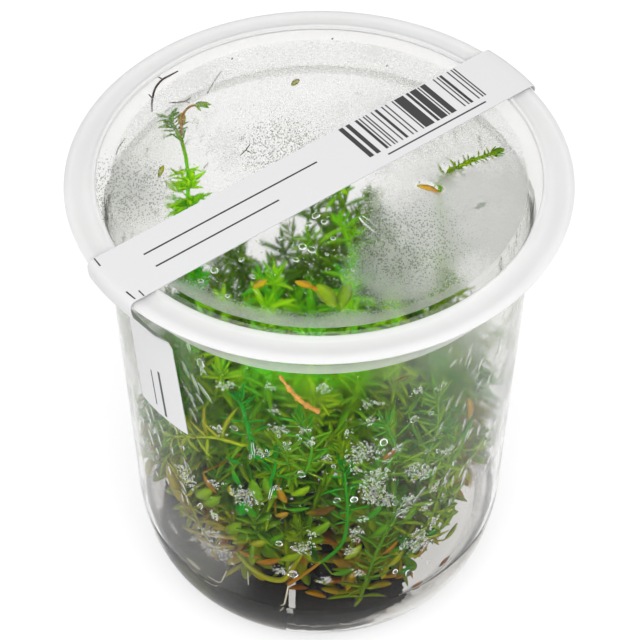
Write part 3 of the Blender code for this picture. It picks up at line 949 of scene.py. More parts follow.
class Growth:
    """Collects the rods and leaves of one stem."""

    def __init__(self, settings, seed):
        self.settings = settings
        self.rng = random.Random(seed)
        self.rods = []
        self.rod_tints = []
        self.leaves = []

    def rod(self, route, radius, tint, tip=0.5):
        """A rod on a route, its radius falling to the share tip at the end."""
        count = len(route)
        self.rods.append([(p, radius * (1.0 + (tip - 1.0) * i / (count - 1)))
                          for i, p in enumerate(route)])
        self.rod_tints.append(tint)

    def whorl(self, base, along, size, tint, lift, count, kinds):
        """Leaves round a node. Here and there one is missing."""
        rng = self.rng
        start = rng.uniform(0.0, 2.0 * math.pi)
        side = along.orthogonal().normalized()
        for i in range(count):
            if rng.random() < MISSING_LEAVES:
                continue
            turn = start + 2.0 * math.pi * i / count + rng.uniform(-0.25, 0.25)
            out = Matrix.Rotation(turn, 3, along) @ side
            rise = lift + rng.uniform(-0.22, 0.22)
            direction = out * math.cos(rise) + along * math.sin(rise)
            length = size * rng.uniform(0.78, 1.15)
            self.leaves.append((rng.choice(kinds),
                                leaf_place(base + out * 0.0003, direction, along, length),
                                tint + rng.uniform(-TINT_SCATTER, TINT_SCATTER)))

    def bud(self, tip, along, size, tint):
        """The crowded young leaves at a shoot's end."""
        self.whorl(tip, along, size, tint, 0.75, 4, (STRAIGHT, RAISED))
        self.whorl(tip + along * 0.0008, along, size * 0.7, tint, 1.1, 4, (STRAIGHT, RAISED))
        self.whorl(tip + along * 0.0014, along, size * 0.45, tint, 1.35, 2, (STRAIGHT,))

    def shoot(self, route, radius, tint, size, spacing, kinds=None, bare=0.0):
        """A leafy shoot on a smooth route. Tint and leaf form may change along it."""
        rng = self.rng
        kinds = kinds or (STRAIGHT, ARCHED, ARCHED, RAISED)
        self.rod(route, radius, tint)
        total = sum((b - a).length for a, b in zip(route, route[1:]))
        steps = max(2, int(total / spacing))
        for i in range(steps):
            part = (i + 0.5) / steps
            if part < bare:
                continue
            spot = part * (len(route) - 1)
            low = min(int(spot), len(route) - 2)
            base = route[low].lerp(route[low + 1], spot - low)
            along = (route[low + 1] - route[low]).normalized()
            old = 1.0 - part
            lift = 0.55 - 0.75 * old + rng.uniform(-0.1, 0.1)
            self.whorl(base, along, size * (0.82 + 0.3 * min(1.0, 2.0 * old)),
                       tint - 0.10 * old, lift, self.settings.whorl, kinds)
        self.bud(route[-1], (route[-1] - route[-2]).normalized(), size * 0.8, tint + 0.02)

    def build(self, name, models, material):
        """Joins the rods and leaves, each rod vertex with its own rod's tint."""
        piece = joined_copies(name, models, self.leaves)
        stem = rods(name + "_rods", self.rods)
        marks = [(spot, tint) for route, tint in zip(self.rods, self.rod_tints) for spot, _ in route]
        tree = kdtree.KDTree(len(marks))
        for i, (spot, _) in enumerate(marks):
            tree.insert(spot, i)
        tree.balance()
        tints = [marks[tree.find(vertex.co)[1]][1] for vertex in stem.data.vertices]
        paint(stem, "tint", tints)
        paint(stem, "along", [0.5] * len(tints))
        pick(piece, stem)
        bpy.ops.object.join()
        piece.data.materials.clear()
        piece.data.materials.append(material)
        keep_inside(piece)
        return piece


def stem_routes():
    """The frame's stem routes, with the same random order: (name, points, kind of shoot)."""
    rng = random.Random(GROWTH_SEED)
    row_step = STEM_SPACING * math.sqrt(0.75)
    rows = int(STEM_FIELD_RADIUS / row_step) + 1
    shoots = (("tall", TALL_SHOOT_CELL, TALL_SHOOT_ROUTE, TALL_SHOOT_ROUTE),
              ("side", SIDE_SHOOT_CELL, SIDE_SHOOT_ROUTE, SIDE_SHOOT_ARCH))
    routes = []
    for row in range(-rows, rows + 1):
        y = row * row_step
        for column in range(-rows, rows + 1):
            x = column * STEM_SPACING + 0.5 * STEM_SPACING * (row % 2)
            if math.hypot(x, y) > STEM_FIELD_RADIUS:
                continue
            phase = rng.uniform(0.0, 2.0 * math.pi)
            scatter = rng.uniform(-STEM_TOP_SCATTER, STEM_TOP_SCATTER)
            clump = math.hypot(x - TALL_CLUMP_CELL[0], y - TALL_CLUMP_CELL[1]) / TALL_CLUMP_RADIUS
            top = STEM_MEAN_TOP + STEM_TOP_SLOPE.dot(Vector((x, y))) + scatter
            top += TALL_CLUMP_RISE * math.exp(-clump * clump)
            kind, end = "", ()
            for shoot, cell, frame_end, own_end in shoots:
                if math.hypot(x - cell[0], y - cell[1]) < 0.5 * STEM_SPACING:
                    kind, end = shoot, own_end
                    top = frame_end[0][2] - SHOOT_BLEND
            # The frame draws its whorls' turn here, so the draw is made and not used
            rng.uniform(0.0, 0.5 * math.pi)
            step = (top - STEM_START) / STEM_ROUTE_STEPS
            route = [sway(x, y, STEM_START + step * i, phase) for i in range(STEM_ROUTE_STEPS + 1)]
            route += [Vector(point) for point in end]
            routes.append((f"stem_{len(routes) + 1:02d}", route, kind))
    return routes


def sway(x, y, z, phase):
    """Where a stem that stands at x, y is at height z."""
    rise = (z - STEM_START) / (STEM_MEAN_TOP - STEM_START)
    turn = STEM_TWIST * rise
    spread = 1.0 + (STEM_SPREAD - 1.0) * rise
    wave = STEM_SWAY * math.sin(math.pi * rise)
    px = spread * (x * math.cos(turn) - y * math.sin(turn)) + STEM_LEAN.x * rise
    py = spread * (x * math.sin(turn) + y * math.cos(turn)) + STEM_LEAN.y * rise
    return Vector((px + wave * math.cos(phase), py + wave * math.sin(phase), z))


# Shoots that touch the wall: tint, leaf size, bare share, thickness for a main stem's, then
# points as degrees from the front and height
WALL_SHOOTS = (
    (EMERALD, 0.0044, 0.62, 1.35, ((-18.8, 0.0672), (-19.4, 0.0712), (-20.4, 0.0760),
                                   (-21.8, 0.0830))),
    (EMERALD, 0.0036, 0.60, 0.95, ((-13.0, 0.0560), (-14.2, 0.0596), (-12.8, 0.0640),
                                   (-12.6, 0.0690))),
    (0.24, 0.0010, 1.00, 1.10, ((-9.6, 0.0252), (-4.2, 0.0297), (1.4, 0.0346))),
    (0.95, 0.0048, 0.62, 1.00, ((0.4, 0.0338), (6.9, 0.0400), (8.4, 0.0500), (7.3, 0.0640))),
    (0.80, 0.0058, 0.25, 0.90, ((13.0, 0.0192), (15.6, 0.0280), (18.5, 0.0364), (24.0, 0.0480))),
    (0.50, 0.0056, 0.50, 0.90, ((-22.0, 0.0695), (-30.0, 0.0688), (-38.0, 0.0655),
                                (-48.0, 0.0600))),
    (0.66, 0.0062, 0.30, 0.80, ((30.0, 0.0300), (36.8, 0.0400), (40.4, 0.0504), (42.0, 0.0600))),
    (0.44, 0.0062, 0.20, 0.80, ((-36.0, 0.0300), (-43.5, 0.0400), (-47.0, 0.0480))),
    (0.74, 0.0056, 0.20, 0.80, ((33.0, 0.0600), (36.0, 0.0700), (35.0, 0.0790))),
    (0.86, 0.0052, 0.20, 0.80, ((-4.0, 0.0640), (-2.0, 0.0730), (-5.0, 0.0800))),
    (0.84, 0.0052, 0.20, 0.80, ((18.0, 0.0600), (22.0, 0.0690), (19.0, 0.0770))),
)

# Single leaves pressed to the wall: tint, width for its form's, base and tip as degrees from
# the front and height in millimetres
WALL_LEAVES = (
    (0.34, 0.9, (-54, 47, -46, 34)), (0.22, 0.5, (-53, 45, -50, 40)),
    (0.16, 0.9, (-37, 54, -33, 49)), (0.60, 1.1, (-41, 44, -35, 49)),
    (0.68, 1.1, (-38, 43, -32, 48)), (0.42, 0.8, (-27, 51, -27, 55)),
    (1.00, 1.3, (-25, 45, -23, 50)), (0.92, 1.3, (-19, 46, -23, 50)),
    (0.22, 1.0, (-12, 58, -10, 53)), (0.26, 0.9, (-13, 48, -9, 51)),
    (0.72, 1.3, (-18, 52, -20, 58)), (0.74, 1.1, (-13, 54, -16, 60)),
    (1.00, 0.7, (-28, 63, -23, 64)), (0.96, 0.8, (-26, 60, -24, 55)),
    (0.90, 0.6, (-10, 51, -3, 52)), (0.62, 1.2, (-8, 56, -3, 59)),
    (0.85, 0.9, (46, 59, 52, 63)), (0.72, 0.8, (43, 54, 49, 59)),
    (0.55, 0.9, (55, 51, 62, 51)), (0.50, 0.8, (40, 46, 50, 49)),
    (0.62, 0.5, (50, 49, 60, 50)), (0.70, 0.7, (38, 38, 49, 40)),
    (0.88, 1.1, (32, 54, 38, 56)), (0.86, 1.1, (4, 29, 11, 30)),
    (0.50, 0.9, (22, 28, 28, 32)), (0.98, 1.2, (26, 24, 31, 26)),
    (0.95, 1.3, (35, 33, 40, 35)), (0.66, 0.8, (41, 32, 48, 36)),
    (0.60, 0.7, (44, 27, 50, 29)), (0.30, 0.8, (32, 27, 37, 31)),
    (0.78, 1.2, (16, 40, 22, 44)), (0.70, 1.1, (-3, 43, 3, 47)),
    (0.82, 1.1, (-16, 38, -11, 42)), (0.46, 1.0, (-22, 36, -16, 39)),
    (0.66, 1.2, (-30, 37, -25, 42)), (0.90, 1.1, (14, 47, 19, 50)),
    (0.74, 1.1, (26, 42, 31, 46)), (0.60, 1.2, (-12, 33, -6, 36)),
    (0.55, 1.1, (8, 34, 13, 38)), (0.24, 0.9, (20, 33, 25, 36)),
)

# Loose dead and live leaves: on the wall as above, then under the lid and on the gel as base
# and tip (x, y) in millimetres
WALL_BITS = ((0.10, 0.4, (20, 90, 25, 90)), (0.27, 0.9, (49, 65, 49, 71)),
             (0.04, 1.0, (-4, 51, 5, 52)), (0.14, 0.9, (18, 66, 22, 69)),
             (0.24, 0.8, (-26, 33, -19, 32)), (0.20, 0.9, (-20, 31, -12, 33)),
             (0.12, 0.8, (42, 19, 46, 21)), (0.14, 1.0, (31, 17, 35, 18)))
LID_BITS = ((0.24, 0.9, (19.3, -2.2, 23.9, -3.9)),
            (0.80, 0.9, (30.6, -8.8, 32.8, -7.2)), (0.60, 1.5, (-0.3, -29.4, 2.9, -34.5)),
            (0.66, 1.3, (5.7, -29.4, 4.0, -35.0)),
            (0.34, 1.3, (-12.6, -30.4, -10.0, -28.4)),
            (0.26, 1.0, (-4.6, -28.6, -1.2, -30.4)), (0.22, 0.9, (-1.8, -29.8, 1.6, -32.2)),
            (0.40, 1.2, (-5.6, 27.4, -4.2, 29.4)), (0.45, 0.7, (-31.8, 0.2, -31.0, 3.4)))
# Where something wet touches the lid's underside and wipes the fog away: x, y, radius in metres
WIPED_SPOTS = ((0.0255, 0.0022, 0.0012), (0.0278, 0.0036, 0.0014), (0.0302, 0.0050, 0.0015),
               (0.0328, 0.0064, 0.0015), (0.0352, 0.0075, 0.0015), (0.0200, -0.0025, 0.0008),
               (0.0218, -0.0031, 0.0008), (0.0234, -0.0037, 0.0008))
GEL_BITS = ((0.30, 1.0, (-3.0, -34.5, 1.5, -35.4)), (0.42, 1.1, (0.5, -33.6, 5.5, -34.6)),
            (0.52, 1.0, (4.0, -34.8, 9.0, -33.9)), (0.60, 1.1, (7.0, -32.9, 12.0, -32.3)),
            (0.46, 1.0, (10.5, -33.4, 15.5, -31.5)), (0.34, 1.1, (13.5, -30.6, 18.0, -28.9)),
            (0.12, 1.0, (-6.5, -33.6, -2.5, -33.0)), (0.16, 1.1, (1.5, -31.8, 6.0, -31.0)),
            (0.90, 1.0, (8.0, -30.6, 13.0, -30.2)), (0.24, 0.9, (16.5, -30.9, 20.5, -27.6)),
            (0.10, 0.9, (5.0, -33.0, 8.5, -31.6)), (0.70, 0.9, (-1.0, -31.4, 3.5, -32.4)))


class RotalaOperator:
    """What the operators share."""
    bl_options = {'REGISTER', 'UNDO'}


class ROTALA_OT_stage(RotalaOperator, bpy.types.Operator):
    """Adds the pale floor, the even sky, the soft light and the camera"""
    bl_idname = "rotala.stage"
    bl_label = "Stage"

    def execute(self, context):
        values = context.scene.rotala_stage
        floor = primitive("floor", bpy.ops.mesh.primitive_plane_add, size=6.0,
                          location=(0.0, 0.0, -0.0002))
        n = Nodes("pale_floor")
        n.principled(Base_Color=n.mix(n.noise(3.0), scaled(values.floor, 0.995), values.floor),
                     Roughness=0.8, Specular_IOR_Level=0.1, Emission_Strength=values.glow)
        floor.data.materials.append(n.material)

        world = bpy.data.worlds.new("soft_sky")
        world.use_nodes = True
        tree = world.node_tree
        back = tree.nodes["Background"]
        spot = tree.nodes.new("ShaderNodeTexCoord")
        split = tree.nodes.new("ShaderNodeSeparateXYZ")
        band = tree.nodes.new("ShaderNodeValToRGB")
        tree.links.new(spot.outputs["Generated"], split.inputs["Vector"])
        tree.links.new(split.outputs["Z"], band.inputs["Fac"])
        tree.links.new(band.outputs["Color"], back.inputs["Color"])
        band.color_ramp.elements[0].position = 0.0
        band.color_ramp.elements[0].color = (0.62, 0.62, 0.63, 1.0)
        band.color_ramp.elements[1].position = 0.75
        band.color_ramp.elements[1].color = (1.0, 1.0, 1.0, 1.0)
        back.inputs["Strength"].default_value = values.sky
        context.scene.world = world

        for name, place, size, power in (("key_light", (-0.18, -0.92, 0.95), 1.2, values.key),
                                         ("fill_light", (0.60, -0.60, 0.90), 0.8,
                                          0.3 * values.key)):
            lamp = bpy.data.lights.new(name, 'AREA')
            lamp.size = size
            lamp.energy = power
            item = bpy.data.objects.new(name, lamp)
            context.scene.collection.objects.link(item)
            item.location = place
            item.rotation_euler = (Vector((0.0, 0.0, 0.05)) - Vector(place)).to_track_quat(
                '-Z', 'Y').to_euler()

        lens = bpy.data.cameras.new("camera")
        lens.lens = values.lens
        lens.sensor_width = 36.0
        lens.clip_start = 0.01
        lens.clip_end = 20.0
        camera = bpy.data.objects.new("camera", lens)
        context.scene.collection.objects.link(camera)
        camera.location = (values.offset, -values.distance * math.cos(values.elevation),
                           LID_TOP + values.distance * math.sin(values.elevation))
        camera.rotation_euler = (0.5 * math.pi - values.tilt, 0.0, 0.0)
        context.scene.camera = camera
        context.scene.view_settings.view_transform = 'Standard'
        return {'FINISHED'}


class ROTALA_OT_cup(RotalaOperator, bpy.types.Operator):
    """Turns the clear cup, with its bead, its flared rim and its round shoulder"""
    bl_idname = "rotala.cup"
    bl_label = "Cup"

    def execute(self, context):
        values = context.scene.rotala_shell
        neck = TOP_WALL_RADIUS - 0.0004
        bead = TOP_WALL_RADIUS + 0.0005
        middle = 0.5 * (BEAD_TOP + BEAD_BOTTOM)
        half = 0.5 * (BEAD_TOP - BEAD_BOTTOM)
        outer = [(0.0225, 0.0003), (0.0240, 0.0)]
        outer += shell_points(BEAD_BOTTOM, 0.0, 0.0, SHOULDER_STEPS)
        outer += [(bead - 0.0002, middle - 0.72 * half), (bead, middle - 0.35 * half),
                  (bead, middle + 0.35 * half), (bead - 0.0002, middle + 0.72 * half),
                  (neck + 0.0001, BEAD_TOP), (neck, BEAD_TOP + 0.0003),
                  (neck, BEAD_TOP + 0.0005), (neck, RIM_TOP - 0.0024),
                  (neck, RIM_TOP - 0.0022), (neck + 0.0003, RIM_TOP - 0.0015),
                  (neck + 0.0010, RIM_TOP - 0.0010), (MILKY_RADIUS, RIM_TOP - 0.0010),
                  (RIM_RADIUS - 0.0002, RIM_TOP - 0.0010), (RIM_RADIUS, RIM_TOP - 0.0008),
                  (RIM_RADIUS, RIM_TOP - 0.0003), (RIM_RADIUS - 0.0003, RIM_TOP),
                  (MILKY_RADIUS, RIM_TOP), (neck - 0.0003, RIM_TOP),
                  (neck - 0.0008, RIM_TOP - 0.0002), (neck - WALL, RIM_TOP - 0.0006),
                  (neck - WALL, RIM_TOP - 0.0008), (neck - WALL, BEAD_TOP + 0.0002)]
        inner = shell_points(BEAD_TOP, WALL, FLOOR, SHOULDER_STEPS)[::-1]
        cup = turned("cup_detailed", outer + inner, values.segments)
        cup.data.materials.append(clear_plastic("cup_wall", values.plastic, values.haze, GLOSSY))

        def inward(centre, normal):
            out = centre.x * normal.x + centre.y * normal.y
            return centre.z < RIM_TOP - 0.0005 and (out < -1e-6 or (
                normal.z > 0.9 and centre.z < 0.02))

        give_faces(cup, fogged_wall(values), inward)
        give_faces(cup, clear_plastic("cup_neck", values.plastic, values.neck_haze, GLOSSY,
                                      NECK_BEND), lambda centre, normal: centre.z > BEAD_TOP)
        give_faces(cup, milky_plastic("cup_rim", values.milky, values.flange_haze),
                   lambda centre, normal: centre.z > RIM_TOP - 0.0016 and
                   math.hypot(centre.x, centre.y) > MILKY_RADIUS)
        give_faces(cup, milky_plastic("cup_bead", values.ring, values.bead_haze, RING_BEND),
                   lambda centre, normal: BEAD_BOTTOM < centre.z < BEAD_TOP and
                   math.hypot(centre.x, centre.y) > TOP_WALL_RADIUS - 0.0005)
        settle(cup, "cup_plastic", "cup")
        return {'FINISHED'}


class ROTALA_OT_lid(RotalaOperator, bpy.types.Operator):
    """Turns the lid, with its panel, the ring round it and its rolled flange"""
    bl_idname = "rotala.lid"
    bl_label = "Lid"

    def execute(self, context):
        values = context.scene.rotala_shell
        panel = LID_TOP - 0.0007
        flange = LID_TOP - 0.0004
        w = values.ridge_width
        skirt_bottom = LID_TOP - 0.0015
        skirt_inner = LID_RADIUS - 0.0008
        profile = [(0.0200, panel), (RIDGE_RADIUS - 2.2 * w, panel),
                   (RIDGE_RADIUS - 1.7 * w, panel),
                   (RIDGE_RADIUS - 1.4 * w, panel + 0.0001), (RIDGE_RADIUS - 0.9 * w, LID_TOP - 0.0001),
                   (RIDGE_RADIUS - 0.4 * w, LID_TOP), (RIDGE_RADIUS + 0.4 * w, LID_TOP),
                   (RIDGE_RADIUS + 0.9 * w, LID_TOP - 0.0001), (RIDGE_RADIUS + 2.0 * w, flange),
                   (RIDGE_RADIUS + 3.2 * w, flange - 0.0001), (0.0476, flange - 0.00015),
                   (0.0484, flange), (0.0491, flange + 0.00005), (0.0497, flange - 0.0001),
                   (0.0502, flange - 0.0004), (LID_RADIUS, flange - 0.0007),
                   (LID_RADIUS - 0.00005, skirt_bottom + 0.0002),
                   (LID_RADIUS - 0.0002, skirt_bottom), (skirt_inner + 0.0001, skirt_bottom),
                   (skirt_inner, skirt_bottom + 0.0001), (skirt_inner - 0.0001, PANEL_UNDER),
                   (0.0495, PANEL_UNDER), (0.0445, PANEL_UNDER), (0.0200, PANEL_UNDER)]
        lid = turned("lid_detailed", profile, values.segments)
        lid.data.materials.append(clear_plastic("lid_panel", values.panel, values.haze,
                                                PANEL_GLOSS))
        edge = RIDGE_RADIUS - 1.55 * w
        give_faces(lid, milky_plastic("lid_flange", values.milky, values.flange_haze),
                   lambda centre, normal: math.hypot(centre.x, centre.y) > edge)
        give_faces(lid, fogged_panel(values),
                   lambda centre, normal: normal.z < -0.9 and
                   math.hypot(centre.x, centre.y) < 0.0440)
        settle(lid, "lid_plastic", "lid")
        return {'FINISHED'}


class ROTALA_OT_label(RotalaOperator, bpy.types.Operator):
    """Lays the paper strip over the lid, with its hook and its flap down the wall"""
    bl_idname = "rotala.label"
    bl_label = "Label"

    def route(self, values):
        """Stations along the strip as (reach, height, whether it follows a circle)."""
        top = LID_TOP + 0.0003
        edge = LID_RADIUS + 0.00045
        touch, end = values.flap_touch, values.flap_end
        stations = []
        for i in range(7):
            z = end + (touch - end) * i / 6
            stations.append((-(wall_radius(z) + 0.0003), z, True))
        stations += [(-(wall_radius(touch) + 0.0009), touch + 0.0022, True),
                     (-0.5 * (TOP_WALL_RADIUS + LID_RADIUS), touch + 0.0060, True),
                     (-(edge - 0.0009), LID_TOP - 0.0046, True),
                     (-(edge - 0.0002), LID_TOP - 0.0034, True),
                     (-edge, LID_TOP - 0.0020, True), (-edge, LID_TOP - 0.0008, True),
                     (-(edge - 0.0002), LID_TOP - 0.0002, True),
                     (-(edge - 0.0006), top - 0.0001, True), (-(edge - 0.0012), top, True)]
        reach = edge - 0.0030
        stations += [(-reach + 2.0 * reach * i / 40, top, False) for i in range(41)]
        stations += [(edge - 0.0012, top, True), (edge - 0.0006, top - 0.0001, True),
                     (edge - 0.0002, LID_TOP - 0.0002, True), (edge, LID_TOP - 0.0007, True),
                     (edge, LID_TOP - 0.0016, True)]
        return stations

    def execute(self, context):
        values = context.scene.rotala_label
        stations = self.route(values)
        rows = 12
        label = primitive("label_detailed", bpy.ops.mesh.primitive_grid_add,
                          x_subdivisions=len(stations) - 1, y_subdivisions=rows, size=2.0)
        turn = Matrix.Rotation(LABEL_TURN, 3, 'Z')
        walked = [0.0]
        for (r0, z0, _), (r1, z1, _) in zip(stations, stations[1:]):
            walked.append(walked[-1] + math.hypot(r1 - r0, z1 - z0))
        crossing = next(i for i, s in enumerate(stations) if not s[2])
        centre = walked[crossing] - stations[crossing][0]
        spots = places_of(label)
        marks = np.zeros((len(spots), 2))
        for i, spot in enumerate(spots):
            station = round((spot[0] + 1.0) * 0.5 * (len(stations) - 1))
            across = spot[1] * 0.5 * values.width
            reach, height, follows = stations[station]
            if follows:
                reach = math.copysign(math.sqrt(reach * reach - across * across), reach)
            spots[i] = turn @ Vector((reach, across, height))
            if reach < 0.0 and height < LID_TOP - 0.0010:
                hang = (LID_TOP - 0.0010 - height) / (LID_TOP - 0.0010 - values.flap_end)
                spots[i] = Matrix.Rotation(hang * values.flap_turn, 3, 'Z') @ Vector(spots[i])
            marks[i] = (walked[station] - centre, across)
        move_to(label, spots)
        layer = label.data.uv_layers.new(name="label_map")
        for loop in label.data.loops:
            layer.data[loop.index].uv = marks[loop.vertex_index]
        for spare in [each for each in label.data.uv_layers if each.name != "label_map"]:
            label.data.uv_layers.remove(spare)
        pick(label)
        edit_all()
        face_outwards()
        top = max(label.data.polygons, key=lambda face: face.center.z)
        if top.normal.z < 0.0:
            bpy.ops.object.mode_set(mode='EDIT')
            bpy.ops.mesh.flip_normals()
            bpy.ops.object.mode_set(mode='OBJECT')
        apply_modifier(label, 'SOLIDIFY', thickness=values.thickness, offset=1.0)
        bpy.ops.object.shade_smooth_by_angle(angle=math.radians(50.0))
        label.data.materials.append(paper(values))
        settle(label, "label_paper", "label")
        return {'FINISHED'}


class ROTALA_OT_gel(RotalaOperator, bpy.types.Operator):
    """Pours the clear gel, which wets the wall and creeps up it a little"""
    bl_idname = "rotala.gel"
    bl_label = "Gel"

    def execute(self, context):
        values = context.scene.rotala_gel
        bite = 0.00015
        bottom = FLOOR - bite
        body = shell_points(GEL_TOP + values.meniscus, WALL - bite, bottom, SHOULDER_STEPS)
        edge = body[-1][0]
        profile = [(0.010, bottom)] + body
        profile += [(edge - 0.0004, GEL_TOP + 0.35 * values.meniscus),
                    (edge - 0.0011, GEL_TOP + 0.08 * values.meniscus),
                    (edge - 0.0022, GEL_TOP), (0.020, GEL_TOP), (0.008, GEL_TOP)]
        gel = turned("gel_detailed", profile, GEL_SIDES)
        gel.data.materials.append(jelly(values))
        settle(gel, "clear_gel", "gel")
        return {'FINISHED'}


class ROTALA_OT_mats(RotalaOperator, bpy.types.Operator):
    """Cuts the two pieces of dark mat, roughens them and tears the right one's underside"""
    bl_idname = "rotala.mats"
    bl_label = "Mats"

    def execute(self, context):
        material = felt(context.scene.rotala_gel)
        half = 0.5 * MAT_SPLIT_WIDTH
        slant = MAT_LEFT_END - MAT_LEFT_FOOT
        inset, bottom = WALL + 0.0005, FLOOR + 0.0004
        pieces = (("mat_left", MAT_LEFT_END, slant, MAT_SPLIT - half, MAT_LEFT_BACK, 0.0),
                  ("mat_right", MAT_SPLIT + half, 0.0, MAT_RIGHT_END, MAT_RIGHT_BACK,
                   MAT_RIGHT_BOTTOM + 0.0006))
        for name, left, lean, right, back, lift in pieces:
            profile = [(0.006, bottom)] + shell_points(MAT_TOP, inset, bottom, 12)
            profile += [(0.024, MAT_TOP), (0.006, MAT_TOP)]
            mat = turned(name + "_detailed", profile, MAT_SIDES)
            end = Vector((-MAT_TOP, 0.0, lean)).normalized()
            cuts = [((left, 0, MAT_TOP), end), ((right, 0, 0), (1, 0, 0)),
                    ((0, back, 0), (0, 1, 0))]
            if lift:
                cuts += [((0.0, 0.0, lift), (0.10, 0.0, -1.0)),
                         ((0.0040, 0.0, lift), (0.32, 0.0, -1.0))]
            bpy.ops.object.mode_set(mode='EDIT')
            for place, normal in cuts:
                bpy.ops.mesh.select_all(action='SELECT')
                bpy.ops.mesh.bisect(plane_co=place, plane_no=normal, use_fill=True,
                                    clear_outer=True)
            bpy.ops.object.mode_set(mode='OBJECT')
            apply_modifier(mat, 'REMESH', mode='VOXEL', voxel_size=MAT_VOXEL)
            self.roughen(mat, right, lift)
            bpy.ops.object.shade_smooth()
            mat.data.materials.append(material)
            settle(mat, "dark_mat", name)
        return {'FINISHED'}

    def roughen(self, mat, right, lift):
        """Fibres all over, and a torn underside and end where the mat is lifted."""
        spots = places_of(mat)
        rough = random.Random(5)
        for i, (x, y, z) in enumerate(spots):
            torn = noise.noise(Vector((x, y, 0.5 * z)) * 420.0)
            fine = noise.noise(Vector((x, y, z)) * 1500.0)
            if lift:
                low = max(0.0, 1.0 - (z - lift) / 0.0030)
                end = max(0.0, 1.0 - (right - x) / 0.0040)
                spots[i, 2] += low * (0.0016 * torn + 0.0006 * fine)
                spots[i, 0] += end * (0.0030 * torn + 0.0010 * fine)
            spots[i] += [rough.gauss(0.0, 0.00009) for _ in range(3)]
        reach = np.hypot(spots[:, 0], spots[:, 1])
        limit = reach_inside(spots[:, 2], 0.03, 60) - 0.0003
        spots[:, :2] *= np.minimum(1.0, limit / np.maximum(reach, 1e-9))[:, None]
        move_to(mat, spots)


